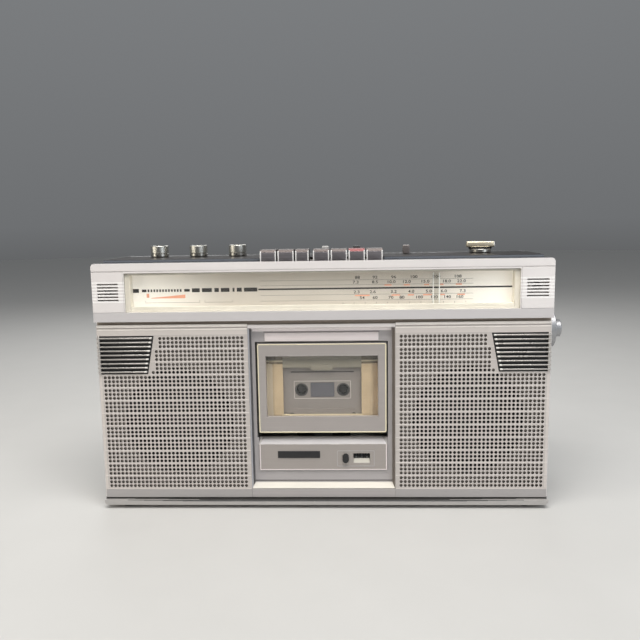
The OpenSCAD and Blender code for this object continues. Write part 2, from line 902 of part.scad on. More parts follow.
module dial_pointer() {
  arm_z = tray_lo + 0.5;
  arm_hi = tray_lo + arm_slot - 0.5;
  color("white") place() difference() {
    union() {
      block(pointer_x - pointer_w / 2, pointer_x + pointer_w / 2, pointer_y, pointer_y + pointer_t,
        arm_z, tray_hi - 1);
      block(pointer_x - 2, pointer_x + 2, pointer_y, rail_y, arm_z, arm_hi);
      block(pointer_x - carriage_w / 2, pointer_x + carriage_w / 2, tray_back + 1, rail_y + 3,
        rail_z - carriage_h / 2, rail_z + carriage_h / 2);
    }
    rod_x(pointer_x - carriage_w, pointer_x + carriage_w, rail_y, rail_z, rail_d + 2 * fit);
  }
}

// Tuning

module tuning_drum() {
  color("ivory") place() difference() {
    rod_y(drum_x, drum_z, drum_y, drum_y + drum_t, drum_d);
    rod_y(drum_x, drum_z, drum_y - over, drum_y + drum_t + over, drum_pin_d + 2 * fit);
  }
}

module tuning_knob() {
  color("silver") place() difference() {
    union() {
      rod_x(half_w + tune_in, tune_face - 1, tune_y, tune_z, tune_d);
      rod_x(half_w + tune_in, tune_face, tune_y, tune_z, tune_d - 2);
      rod_x(spool_x, tune_face - over, tune_y, tune_z, tune_shaft_d);
      rod_x(spool_x, spool_x + 8, tune_y, tune_z, spool_d);
    }
    rod_x(spool_x - over, tune_face + over, tune_y, tune_z, fine_shaft_d + 2 * fit);
  }
}

module fine_tuning_knob() {
  color("gray") place() {
    rod_x(tune_face + 0.5, fine_face - 1, tune_y, tune_z, fine_d);
    rod_x(tune_face + 0.5, fine_face, tune_y, tune_z, fine_d - 2);
    rod_x(spool_x - 3, fine_face - over, tune_y, tune_z, fine_shaft_d);
  }
}

// Tuner board with the tuning capacitor, whose pin carries the drum
module main_board() {
  pin_y = drum_y + drum_t + free_gap;
  color("darkgreen") place() {
    block(board_in, board_out, board_y, step_y - 8, board_z, board_z + board_t);
    block(drum_x - 16, drum_x + 16, pin_y, pin_y + 34, board_z + board_t / 2, drum_z + 8);
    rod_y(drum_x, drum_z, drum_y - 1, pin_y + over, drum_pin_d);
  }
}

// Cassette deck

module deck_mouth() {
  // Slanting sides of the recess in front of the deck's face
  deep = deck_face - panel_y;
  intersection() {
    along_x(-panel_in, panel_in) polygon([
      [panel_y - over, deck_z + seat_gap - over], [deck_face, deck_z + deck_bevel + 2], [deck_face,
      deck_top - deck_bevel],
      [panel_y - over, deck_top - seat_gap + over / 2]
    ]);
    translate([0, 0, deck_z]) linear_extrude(deck_top - deck_z) polygon([
      [-deck_half - over / 4, panel_y - over], [deck_half + over / 4, panel_y - over],
      [deck_inner, panel_y + deep], [-deck_inner, panel_y + deep]
    ]);
  }
}

module deck_frame() {
  back = deck_face + deck_plate;
  color("darkgray") place() difference() {
    union() {
      difference() {
        slab(deck_half, panel_y, deck_d, deck_z + seat_gap, deck_top - seat_gap);
        slab(deck_inner, back, deck_d + over, deck_z + deck_bevel, deck_top - deck_bevel);
        deck_mouth();
      }
      difference() {
        slab(panel_in + deck_flange, baffle_back, baffle_back + 2, deck_z - deck_flange,
          deck_top + deck_flange - 2);
        slab(deck_inner, baffle_back - over, baffle_back + 2 + over, deck_z + deck_bevel,
          deck_top - deck_bevel);
      }
      both_sides() block(door_half + door_gap + 0.5, deck_inner + over, deck_face + 1, hinge_y + 5,
        hinge_z - 6, hinge_z + 6);
    }
    slab(deck_opening, deck_face - over, back + over, lower_z - door_gap / 2, door_top + door_gap);
    slab(deck_half + over, 0, panel_y, deck_z, deck_top);
    rod_x(-deck_half + deck_bevel, deck_half - deck_bevel, hinge_y, hinge_z, hinge_d + 2 * fit);
  }
}

module door_frame() {
  color("silver") place() {
    difference() {
      slab(door_half, door_y, door_back, door_z, door_top);
      slab(window_half, door_y - over, door_back + over, window_z, window_top);
    }
    both_sides() {
      block(door_half - hinge_lug - 0.5, door_half - 0.5, door_back - over, hinge_y, hinge_z - 3,
        hinge_z + lug_d / 2);
      rod_x(door_half - hinge_lug - 0.5, door_half - 0.5, hinge_y, hinge_z, lug_d);
      rod_x(door_half - hinge_lug, deck_inner - 0.5, hinge_y, hinge_z, hinge_d);
    }
  }
}

module door_window() {
  color([0.8, 0.8, 0.75, 0.4]) place()
    slab(window_half + window_edge, door_back, holder_y, window_z - window_edge,
      window_top + window_edge);
}

module cassette_holder() {
  color("wheat") place() {
    both_sides() {
      block(window_half - pillar_w, window_half, holder_y, holder_y + pillar_t,
        window_z - window_edge, window_top);
      block(holder_in, holder_in + holder_wall, holder_y, tape_back + 2, tape_z - 3, tape_top + 3);
      block(holder_in - 8, holder_in + over, holder_y + over, tape_back + 2, tape_z - 3, tape_z);
    }
    slab(window_half - pillar_w + over, holder_y, holder_y + 2, bar_lo, bar_hi);
  }
}

module cassette() {
  swell_z = tape_z + 15;
  color("#6b6a66") place() difference() {
    union() {
      slab(tape_w / 2, tape_y, tape_back, tape_z, tape_top);
      along_y(tape_y - tape_swell, tape_back + tape_swell)
        polygon([[-36, tape_z], [36, tape_z], [33, swell_z], [-33, swell_z]]);
    }
    both_sides() {
      rod_y(hub_pitch / 2, hub_z, 0, tape_back + over, hub_d);
      rod_y(capstan_x, capstan_z, 0, tape_back + 2 * over + tape_swell, locator_d);
    }
    slab(tape_pane, tape_y - over, tape_y + pane_deep, hub_z - pane_down, hub_z + pane_rise);
  }
}

module lower_panel() {
  back = deck_face + deck_plate;
  slant_top = lower_top + slant_h;
  color("silver") place() difference() {
    union() {
      slab(lower_half, lower_y, back, lower_z, lower_top);
      slab(deck_inner - 0.5, back, back + 2, lower_z - 4, lower_top + 1);
      along_x(-lower_half, lower_half) polygon([
        [lower_y, lower_top - over], [lower_y, lower_top], [lower_y + slant_d, slant_top],
        [lower_y + slant_d + 2, slant_top], [back + 2, lower_top - over]
      ]);
      for (x = [counter_x - counter_half - 3, counter_x + counter_half + 0.5]) {
        block(x, x + 2.5, back, counter_y + 4, counter_z - 5, counter_z + 5);
      }
      rod_x(counter_x - counter_half - over, counter_x + counter_half + over, counter_y, counter_z,
        counter_axle);
    }
    // Counter window, with room for the wheels
    difference() {
      union() {
        block(counter_x - counter_half, counter_x + counter_half, 0, back + 3,
          counter_z - counter_open, counter_z + counter_open);
        block(counter_x - counter_half, counter_x + counter_half, lower_y + counter_lip, back + 3,
          counter_z - counter_room, counter_z + counter_room);
      }
      rod_x(counter_x - counter_half - over, counter_x + counter_half + over, counter_y, counter_z,
        counter_axle);
    }
    // Reset button
    along_y(0, back + 3) round_rect(reset_x - reset_w / 2 - free_gap, reset_x + reset_w / 2 + free_gap,
      counter_z - reset_h / 2 - free_gap, counter_z + reset_h / 2 + free_gap,
        reset_w / 2 + free_gap - 0.1);
  }
}

module counter_wheel(i) {
  x = counter_x + (i - 1) * (counter_w + wheel_gap);
  color("#181818") place() difference() {
    rod_x(x - counter_w / 2, x + counter_w / 2, counter_y, counter_z, counter_d);
    rod_x(x - counter_w, x + counter_w, counter_y, counter_z, counter_axle + 2 * fit);
  }
}

module counter_hundreds() { counter_wheel(0); }

module counter_tens() { counter_wheel(1); }

module counter_units() { counter_wheel(2); }

module counter_button() {
  back = deck_face + deck_plate;
  color("#202020") place() {
    along_y(lower_y - 2.4, back + 6) round_rect(reset_x - reset_w / 2, reset_x + reset_w / 2,
      counter_z - reset_h / 2, counter_z + reset_h / 2, reset_w / 2 - 0.1);
    block(reset_x - reset_w / 2, reset_x + reset_w / 2, back + 2 + free_gap, back + 5,
      counter_z - reset_h / 2 - 1.5, counter_z + reset_h / 2 + 1.5);
  }
}

module deck_chassis() {
  color("lightsteelblue") place() difference() {
    union() {
      slab(deck_half - 1, chassis_y, chassis_back, deck_z + 2, deck_top - 1.4);
      rod_y(capstan_x, capstan_z, chassis_y + over, chassis_back + bearing_l, 10);
      both_sides() block(bracket_x, bracket_x + bracket_t, chassis_y, key_shaft_y + 6,
        deck_top - bracket_drop, key_shaft_z + 5);
      rod_x(-bracket_x - over, bracket_x + over, key_shaft_y, key_shaft_z, key_shaft_d);
    }
    both_sides() rod_y(hub_pitch / 2, hub_z, chassis_y - over, chassis_back + over,
      spindle_shaft_d + 2 * fit);
    rod_y(capstan_x, capstan_z, chassis_y - over, chassis_back + bearing_l + over, capstan_d + 2 * fit);
  }
}

module spindle(x) {
  tip = tape_y + 1.5;
  color("#141414") place() {
    rod_y(x, hub_z, tip + 3, chassis_y - 1, spindle_d);
    translate([x, tip + 3, hub_z]) rotate([90, 0, 0]) cylinder(d1 = spindle_d, d2 = 3, h = 3);
    rod_y(x, hub_z, chassis_y - 2, chassis_back + 1 + reel_t, spindle_shaft_d);
    rod_y(x, hub_z, chassis_back + 1, chassis_back + 1 + reel_t, reel_d);
  }
}

module supply_spindle() { spindle(-hub_pitch / 2); }

module takeup_spindle() { spindle(hub_pitch / 2); }

module flywheel() {
  color("goldenrod") place() {
    rod_y(capstan_x, capstan_z, tape_back + 0.6, flywheel_y + over, capstan_d);
    rod_y(capstan_x, capstan_z, flywheel_y, flywheel_y + flywheel_t, flywheel_d);
  }
}

module deck_motor() {
  color("silver") place() {
    rod_y(motor_x, motor_z, chassis_back, chassis_back + motor_l, motor_d);
    rod_y(motor_x, motor_z, chassis_back + motor_l - over, belt_y + belt_w + 1, motor_shaft_d);
  }
}

module motor_pulley() {
  color("goldenrod") place() difference() {
    rod_y(motor_x, motor_z, belt_y - 0.7, belt_y + belt_w + 0.7, pulley_d);
    rod_y(motor_x, motor_z, belt_y - 2, belt_y + belt_w + 2, motor_shaft_d + 2 * fit);
  }
}

// Points of an arc from one angle to another
function arc(centre, r, from, to, steps) = [
  for (i = [0:steps]) let (a = from + (to - from) * i / steps) centre + r * [cos(a), sin(a)]
];

// Outline of a band drawn tight round the flywheel and the pulley, at a distance from both
function band_points(away) =
  let (
    run = [motor_x - capstan_x, motor_z - capstan_z],
    lean = acos((flywheel_d - pulley_d) / 2 / norm(run)),
    turn = atan2(run[1], run[0])
  )
  concat(
    arc([capstan_x, capstan_z], flywheel_d / 2 + away, turn + lean, turn + 360 - lean, 40),
    arc([motor_x, motor_z], pulley_d / 2 + away, turn - lean, turn + lean, 12)
  );

module drive_belt() {
  color("#101010") place() along_y(belt_y, belt_y + belt_w) difference() {
    polygon(band_points(free_gap + belt_t));
    polygon(band_points(free_gap));
  }
}

module head_plate() {
  top = tape_z - head_up;
  plate_y = chassis_y - free_gap - plate_t;
  color("silver") place() {
    slab(plate_half, plate_y, plate_y + plate_t, deck_z + plate_low, top);
    slab(head_half, tape_y + 1, plate_y + over, top - head_h, top);
  }
}

// Keys

module key(i) {
  x0 = key_left + i * key_pitch;
  x1 = x0 + (i == 2 ? third_key_w : key_w);
  color("silver") place() difference() {
    union() {
      along_x(x0, x1) polygon([
        [key_front, key_foot], [key_front, key_top - 2.2], [key_front + 2.2, key_top],
        [key_back - 1, key_top], [key_back, key_top - 1], [key_back, key_foot]
      ]);
      along_x(x0 + 2, x1 - 2) polygon([
        [key_front + 8, key_foot + over], [key_front + 8, key_shaft_z + 4], [key_shaft_y,
        key_shaft_z - key_hub_d / 2],
        [key_shaft_y, key_shaft_z + key_hub_d / 2], [key_back + 6, inside_top - 2], [key_back - 2,
        key_foot + over]
      ]);
      rod_x(x0 + 2, x1 - 2, key_shaft_y, key_shaft_z, key_hub_d);
    }
    rod_x(x0, x1, key_shaft_y, key_shaft_z, key_shaft_d + 2 * fit);
  }
}

module key_1() { key(0); }

module key_2() { key(1); }

module key_3() { key(2); }

module key_4() { key(3); }

module key_5() { key(4); }

module key_6() { key(5); }

module key_7() { key(6); }

// Top controls

module round_knob(x) {
  z = top_z + control_gap;
  color("silver") place() {
    rod_z(x, row_y, z, z + knob_h - 1, knob_d);
    rod_z(x, row_y, z, z + knob_h, knob_d - 2);
    rod_z(x, row_y, inside_top - control_boss_l - 2, z + over, control_shaft_d);
  }
}

module volume_knob() { round_knob(knob_xs[0]); }

module tone_knob() { round_knob(knob_xs[1]); }

module balance_knob() { round_knob(knob_xs[2]); }

module slide_switch(x) {
  z = top_z + control_gap;
  low = inside_top - free_gap;
  color("silver") place() {
    block(x - slide_w / 2, x + slide_w / 2, row_y - slide_d / 2, row_y + slide_d / 2, z,
      z + slide_h);
    block(x - stem_w / 2, x + stem_w / 2, row_y - stem_d / 2, row_y + stem_d / 2,
      low - foot_t, z + over);
    block(x - stem_w, x + stem_w, row_y - slide_d / 2, row_y + slide_d / 2, low - foot_t, low);
  }
}

module function_switch() { slide_switch(slide_xs[0]); }

module mode_switch() { slide_switch(slide_xs[1]); }

module monitor_switch() { slide_switch(slide_xs[2]); }

module band_selector() {
  z = top_z + control_gap;
  color("silver") place() {
    rod_z(selector_x, row_y, z, z + bar_base_h, bar_base_d);
    block(selector_x - bar_l / 2, selector_x + bar_l / 2, row_y - bar_d / 2, row_y + bar_d / 2,
      z + bar_base_h, z + bar_h);
    rod_z(selector_x, row_y, inside_top - control_boss_l - 2, z + over, control_shaft_d);
  }
}

// Back

module power_transformer() {
  back = body_d - wall - core_gap;
  front = back - core_d;
  color("slategray") place() translate([transformer_x, 0, 0]) {
    slab(core_w / 2, front, back, wall, wall + core_h);
    slab(coil_w / 2, front - coil_d, front + over, wall + coil_in, wall + core_h - coil_in);
  }
}

module battery_box() {
  w = battery_w / 2;
  color("#303030") place() difference() {
    slab(w + battery_wall, battery_y - battery_wall, body_d - wall,
      battery_z - battery_wall, battery_z + battery_h + battery_wall);
    slab(w, battery_y, body_d, battery_z, battery_z + battery_h);
  }
}

module battery_door() {
  w = battery_w / 2 - lid_gap;
  low = battery_z + lid_gap + lid_t / 2;
  color("dimgray") place() {
    difference() {
      slab(w, body_d - lid_t, body_d, low, battery_z + battery_h - lid_gap);
      slab(12, body_d - lid_t - over, body_d + over, battery_z + battery_h - 4, battery_z + battery_h);
    }
    rod_x(-w, w, lid_y, low, lid_t);
    rod_x(-w - lid_pin_l + 0.5, w + lid_pin_l - 0.5, lid_y, low, lid_pin_d);
  }
}

module jack_sockets() {
  inside = body_d - wall;
  color("#202020") place() for (i = [0:jack_count - 1]) {
    x = jack_first + i * jack_pitch;
    difference() {
      union() {
        block(x - jack_half, x + jack_half, inside - jack_deep, body_d + jack_out, jack_z - 8,
          jack_z + 8);
        block(x - jack_half, x + jack_half, inside - 3, inside, jack_z - 11, jack_z + 11);
      }
      rod_y(x, jack_z, body_d + jack_out - jack_deep, body_d + over, jack_d);
    }
  }
}

module mains_inlet() {
  inside = body_d - wall;
  color("#202020") place() {
    difference() {
      union() {
        block(inlet_mid - inlet_half, inlet_mid + inlet_half, inside - inlet_deep + 1, body_d,
          inlet_z - inlet_h / 2, inlet_z + inlet_h / 2);
        block(inlet_mid - inlet_half - 4, inlet_mid + inlet_half + 4, inside - 3, inside,
          inlet_z - inlet_h / 2 - 3, inlet_z + inlet_h / 2 + 3);
      }
      along_y(body_d - inlet_deep + 3, body_d + over) round_rect(inlet_mid - 8, inlet_mid + 8,
        inlet_z - 4, inlet_z + 4, 3.9);
    }
    for (x = [-4.3, 4.3]) rod_y(inlet_mid + x, inlet_z, body_d - inlet_deep + 2, body_d - 4, 2.4);
  }
}

// Handle and aerial

module handle_arms() {
  r = arm_w / 2;
  color("#202020") place() both_sides() difference() {
    union() {
      rod_x(arm_in, arm_out, pivot_y, pivot_z, arm_w);
      block(arm_in, arm_out, pivot_y, body_d, pivot_z - r, pivot_z + r);
    }
    rod_x(arm_in - over, arm_out + over, pivot_y, pivot_z, pivot_d + 2 * fit);
  }
}

module handle_grip() {
  color("#202020") place()
    along_x(-arm_in, arm_in) round_rect(grip_y, body_d, grip_z, grip_z + grip_h, grip_round);
}

module aerial_tube() {
  tube_x = aerial_x + neck_l;
  color("silver") place() difference() {
    union() {
      rod_y(aerial_x, aerial_z, aerial_y - eye_t / 2, aerial_y + eye_t / 2, eye_d);
      block(aerial_x, tube_x + over, aerial_y - eye_t / 2, aerial_y + eye_t / 2, aerial_z - 2.5,
        aerial_z + 2.5);
      rod_x(tube_x, aerial_x + aerial_l - rod_tip, aerial_y, aerial_z, aerial_d);
    }
    rod_y(aerial_x, aerial_z, aerial_y - eye_d, aerial_y + eye_d, aerial_pin_d + 2 * fit);
    rod_x(tube_x + 4, aerial_x + aerial_l, aerial_y, aerial_z, aerial_rod_d + 2 * fit);
  }
}

module aerial_rod() {
  end = aerial_x + aerial_l;
  color("silver") place() {
    rod_x(aerial_x + neck_l + 6, end, aerial_y, aerial_z, aerial_rod_d);
    rod_x(end - rod_tip + 0.5, end, aerial_y, aerial_z, aerial_d);
  }
}

front_cabinet();
rear_cover();
top_panel();
grille_left();
grille_right();
tweeter_louvres();
mic_grilles();
feet();
case_screws();
dial_tray();
dial_scale();
dial_window();
dial_pointer();
tuning_drum();
tuning_knob();
fine_tuning_knob();
deck_frame();
door_frame();
door_window();
cassette_holder();
cassette();
lower_panel();
counter_units();
counter_tens();
counter_hundreds();
counter_button();
deck_chassis();
supply_spindle();
takeup_spindle();
flywheel();
motor_pulley();
deck_motor();
drive_belt();
head_plate();
key_1();
key_2();
key_3();
key_4();
key_5();
key_6();
key_7();
volume_knob();
tone_knob();
balance_knob();
function_switch();
mode_switch();
monitor_switch();
band_selector();
woofers();
tweeters();
main_board();
power_transformer();
battery_box();
battery_door();
jack_sockets();
mains_inlet();
handle_arms();
handle_grip();
aerial_tube();
aerial_rod();
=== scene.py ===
import json
import math

import bmesh
import bpy
import numpy as np
from mathutils import Matrix, Vector


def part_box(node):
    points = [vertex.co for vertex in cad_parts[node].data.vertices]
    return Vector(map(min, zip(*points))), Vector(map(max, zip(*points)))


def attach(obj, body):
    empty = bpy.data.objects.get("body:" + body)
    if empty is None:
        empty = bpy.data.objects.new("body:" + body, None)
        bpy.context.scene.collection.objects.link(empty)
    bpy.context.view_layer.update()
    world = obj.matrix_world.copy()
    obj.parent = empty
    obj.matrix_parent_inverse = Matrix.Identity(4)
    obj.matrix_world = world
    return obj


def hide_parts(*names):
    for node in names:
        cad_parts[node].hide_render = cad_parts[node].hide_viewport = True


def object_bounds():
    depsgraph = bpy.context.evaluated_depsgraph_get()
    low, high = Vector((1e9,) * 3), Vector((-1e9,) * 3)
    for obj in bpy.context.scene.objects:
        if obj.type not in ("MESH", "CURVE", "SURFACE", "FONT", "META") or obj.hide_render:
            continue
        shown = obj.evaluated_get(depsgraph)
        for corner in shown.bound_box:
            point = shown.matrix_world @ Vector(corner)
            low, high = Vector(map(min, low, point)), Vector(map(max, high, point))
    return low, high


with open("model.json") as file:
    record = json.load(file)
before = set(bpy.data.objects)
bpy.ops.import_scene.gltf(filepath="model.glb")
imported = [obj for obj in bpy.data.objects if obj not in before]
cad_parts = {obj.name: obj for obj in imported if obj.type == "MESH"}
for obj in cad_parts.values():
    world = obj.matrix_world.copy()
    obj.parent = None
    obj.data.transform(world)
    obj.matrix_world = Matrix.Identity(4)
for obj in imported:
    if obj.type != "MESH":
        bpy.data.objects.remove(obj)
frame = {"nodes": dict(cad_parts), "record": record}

cadBox = [list(corner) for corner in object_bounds()]
nodes = frame["nodes"]
mm = 0.001
frontLow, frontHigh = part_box("front_cabinet")
# Sizes are in millimetres from home, the middle of the front's lower edge: X right, Y into the depth, Z up
home = np.array([(frontLow.x + frontHigh.x) / 2, frontLow.y, frontLow.z])
print("frame loaded:", len(nodes), "nodes")


def nodeBox(name):  # a node's lowest and highest corner, in millimetres from home
    low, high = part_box(name)
    return (np.array(low) - home) / mm, (np.array(high) - home) / mm


# Camera and lights

cameraView = {
    "place": (27.07, -669.94, 285.87),
    "yaw": -0.04138,  # radians
    "pitch": 0.14110,
    "roll": 0.01631,
    "focal": 690.0,  # pixels, in a picture 640 across
    "picture": 640.0,
    "sensor": 36.0,
}
studioLights = {
    "overheadSoftbox": {"place": (40, -560, 1600), "size": (1500, 900), "power": 36, "colour": (1.0, 0.98, 0.955)},
    "rightSoftbox": {"place": (1010, -840, 560), "size": (700, 900), "power": 4.4, "colour": (0.86, 0.93, 1.0)},
    "leftSoftbox": {"place": (-1300, -620, 520), "size": (500, 900), "power": 5, "colour": (1.0, 0.93, 0.80)},
    "rearSoftbox": {"place": (-200, 1300, 1100), "size": (1200, 700), "power": 8, "colour": (1.0, 1.0, 1.0)},
}
lightAim = (0, 60, 120)


def setCamera(view):
    yaw, pitch, roll = view["yaw"], view["pitch"], view["roll"]
    ahead = np.array([math.sin(yaw) * math.cos(pitch), math.cos(yaw) * math.cos(pitch), -math.sin(pitch)])
    right = np.array([math.cos(yaw), -math.sin(yaw), 0.0])
    down = np.cross(ahead, right)
    right, down = right * math.cos(roll) + down * math.sin(roll), down * math.cos(roll) - right * math.sin(roll)
    lens = bpy.data.cameras.new("photoView")
    lens.sensor_width = view["sensor"]
    lens.lens = view["sensor"] * view["focal"] / view["picture"]
    camera = bpy.data.objects.new("photoView", lens)
    turn = Matrix(np.stack([right, -down, -ahead], axis=1).tolist()).to_4x4()
    camera.matrix_world = Matrix.Translation(np.array(view["place"]) * mm + home) @ turn
    bpy.context.scene.collection.objects.link(camera)
    bpy.context.scene.camera = camera


def setLights():
    for name, lamp in studioLights.items():
        data = bpy.data.lights.new(name, "AREA")
        data.shape = "RECTANGLE"
        data.size, data.size_y = np.array(lamp["size"]) * mm
        data.energy, data.color = lamp["power"], lamp["colour"]
        place = Vector(np.array(lamp["place"]) * mm + home)
        aim = Vector(np.array(lightAim) * mm + home)
        holder = bpy.data.objects.new(name, data)
        holder.matrix_world = Matrix.Translation(place) @ (aim - place).to_track_quat("-Z", "Y").to_matrix().to_4x4()
        bpy.context.scene.collection.objects.link(holder)


setCamera(cameraView)
setLights()
print("camera and lights set")


# Shader helpers


def feed(tree, socket, value):
    if isinstance(value, bpy.types.NodeSocket):
        tree.links.new(value, socket)
    else:
        socket.default_value = value


def shade(tree, kind, inputs=None, **settings):
    node = tree.nodes.new("ShaderNode" + kind)
    for key, value in settings.items():
        setattr(node, key, value)
    for key, value in (inputs or {}).items():
        feed(tree, node.inputs[key], value)
    return node


def calc(tree, operation, *values, clamp=False):
    node = shade(tree, "Math", operation=operation, use_clamp=clamp)
    for socket, value in zip(node.inputs, values):
        feed(tree, socket, value)
    return node.outputs[0]


def blendColour(tree, amount, first, second, kind="MIX"):  # sockets 6, 7 and 2 of a Mix node are its colours
    node = shade(tree, "Mix", data_type="RGBA", blend_type=kind)
    for index, value in ((0, amount), (6, first), (7, second)):
        feed(tree, node.inputs[index], (*value, 1.0) if isinstance(value, tuple) else value)
    return node.outputs[2]


def blendValue(tree, amount, first, second):  # sockets 2, 3 and 0 of a Mix node are its plain values
    node = shade(tree, "Mix", data_type="FLOAT")
    for index, value in ((0, amount), (2, first), (3, second)):
        feed(tree, node.inputs[index], value)
    return node.outputs[0]


def newGroup(name, inputs, outputs):
    tree = bpy.data.node_groups.new(name, "ShaderNodeTree")
    for label, start in inputs.items():
        kind = "NodeSocketVector" if isinstance(start, tuple) else "NodeSocketFloat"
        tree.interface.new_socket(label, in_out="INPUT", socket_type=kind).default_value = start
    for label in outputs:
        tree.interface.new_socket(label, in_out="OUTPUT", socket_type="NodeSocketFloat")
    return tree, tree.nodes.new("NodeGroupInput").outputs, tree.nodes.new("NodeGroupOutput").inputs


def useGroup(tree, group, values):
    node = shade(tree, "Group", node_tree=group)
    for label, value in values.items():
        feed(tree, node.inputs[label], value)
    return node.outputs


noiseMiddle = 0.5


def placeOn(tree):  # the place on the object, in metres
    return shade(tree, "TexCoord").outputs["Object"]


def noise(tree, spot, scale, detail, rough=0.5):
    inputs = {"Vector": spot, "Scale": scale, "Detail": detail, "Roughness": rough}
    return shade(tree, "TexNoise", inputs).outputs[0]


def tintFrom(tree, pattern, gain, tone):  # 1 plus the tone times the gain times how far a pattern is off its middle
    swing = calc(tree, "MULTIPLY", calc(tree, "SUBTRACT", pattern, noiseMiddle), gain)
    return calc(tree, "MULTIPLY_ADD", swing, tone, 1.0)


# Effects that several finishes share


def makeMouldedSkin():  # fine noise for the grain, slow noise round 1 for the tint, smudged noise for the gloss
    tree, given, put = newGroup("mouldedSkin", {"Grain": 2500.0, "Tone": 0.05}, ["Height", "Tint", "Gloss"])
    spot = placeOn(tree)
    slow = noise(tree, spot, scale=16.0, detail=4.0)
    feed(tree, put["Height"], noise(tree, spot, scale=given["Grain"], detail=3.0))
    feed(tree, put["Tint"], tintFrom(tree, slow, gain=4.0, tone=given["Tone"]))
    feed(tree, put["Gloss"], noise(tree, spot, scale=60.0, detail=5.0, rough=0.65))
    return tree


def makeHairlines():  # noise drawn out along one axis: the scale is small along the lines and large across them
    tree, given, put = newGroup("hairlines", {"Spread": (5.0, 900.0, 900.0), "Tone": 0.08}, ["Height", "Tint"])
    drawn = shade(tree, "VectorMath", {0: placeOn(tree), 1: given["Spread"]}, operation="MULTIPLY").outputs[0]
    lines = noise(tree, drawn, scale=1.0, detail=4.0, rough=0.7)
    feed(tree, put["Height"], lines)
    feed(tree, put["Tint"], tintFrom(tree, lines, gain=2.0, tone=given["Tone"]))
    return tree


wearLook = {"edgeGain": 7.0, "patchFrom": 0.38, "patchGain": 3.5}


def makeEdgeWear(look):  # where a rounded normal leaves the true one, broken up by noise
    tree, given, put = newGroup("edgeWear", {"Radius": 0.0006, "Amount": 0.5}, ["Mask"])
    rounded = shade(tree, "Bevel", {"Radius": given["Radius"]}, samples=4).outputs["Normal"]
    true = shade(tree, "NewGeometry").outputs["Normal"]
    along = shade(tree, "VectorMath", {0: rounded, 1: true}, operation="DOT_PRODUCT").outputs["Value"]
    edge = calc(tree, "MULTIPLY", calc(tree, "SUBTRACT", 1.0, along), look["edgeGain"], clamp=True)
    over = calc(tree, "SUBTRACT", noise(tree, placeOn(tree), scale=90.0, detail=5.0), look["patchFrom"])
    patch = calc(tree, "MULTIPLY", over, look["patchGain"], clamp=True)
    feed(tree, put["Mask"], calc(tree, "MULTIPLY", calc(tree, "MULTIPLY", edge, patch), given["Amount"]))
    return tree


grimeAndShadeLook = {"power": 1.6, "least": 0.35}


def makeCornerGrime(look):  # dirt and painted shade: the share of the sky that nearby faces hide, raised to a power and broken up by noise
    tree, given, put = newGroup("cornerGrimeAndShade", {"Reach": 0.006, "Amount": 0.5}, ["Mask"])
    clear = shade(tree, "AmbientOcclusion", {"Distance": given["Reach"]}, samples=4).outputs["AO"]
    patch = noise(tree, placeOn(tree), scale=70.0, detail=4.0)
    hidden = calc(tree, "POWER", calc(tree, "SUBTRACT", 1.0, clear, clamp=True), look["power"])
    mask = calc(tree, "MULTIPLY", hidden, calc(tree, "ADD", patch, look["least"]))
    feed(tree, put["Mask"], calc(tree, "MULTIPLY", mask, given["Amount"], clamp=True))
    return tree


def makeDustSpecks():  # a few cells of a cell pattern, each with a dot at its middle
    tree, given, put = newGroup("dustSpecks", {"Density": 0.02, "Size": 0.12}, ["Mask"])
    cell = shade(tree, "TexVoronoi", {"Vector": placeOn(tree), "Scale": 240.0}).outputs
    chosen = shade(tree, "SeparateColor", {"Color": cell["Color"]}).outputs[0]
    near = calc(tree, "LESS_THAN", cell["Distance"], given["Size"])
    few = calc(tree, "LESS_THAN", chosen, given["Density"])
    feed(tree, put["Mask"], calc(tree, "MULTIPLY", near, few))
    return tree


def makeInsideBox():  # 1 where the place lies between two corners, else 0
    tree, given, put = newGroup("insideBox", {"Low": (0.0, 0.0, 0.0), "High": (1.0, 1.0, 1.0)}, ["Mask"])
    spot = placeOn(tree)
    over = shade(tree, "VectorMath", {0: spot, 1: given["Low"]}, operation="SUBTRACT").outputs[0]
    under = shade(tree, "VectorMath", {0: given["High"], 1: spot}, operation="SUBTRACT").outputs[0]
    least = shade(tree, "VectorMath", {0: over, 1: under}, operation="MINIMUM").outputs[0]
    axes = shade(tree, "SeparateXYZ", {0: least}).outputs
    least = calc(tree, "MINIMUM", calc(tree, "MINIMUM", axes[0], axes[1]), axes[2])
    feed(tree, put["Mask"], calc(tree, "GREATER_THAN", least, 0.0))
    return tree


effects = {
    "skin": makeMouldedSkin(),
    "lines": makeHairlines(),
    "wear": makeEdgeWear(wearLook),
    "grimeAndShade": makeCornerGrime(grimeAndShadeLook),
    "specks": makeDustSpecks(),
    "inside": makeInsideBox(),
}

# Finishes. Colours are linear; grain is in cycles a metre; a finish without a slot is named for its own

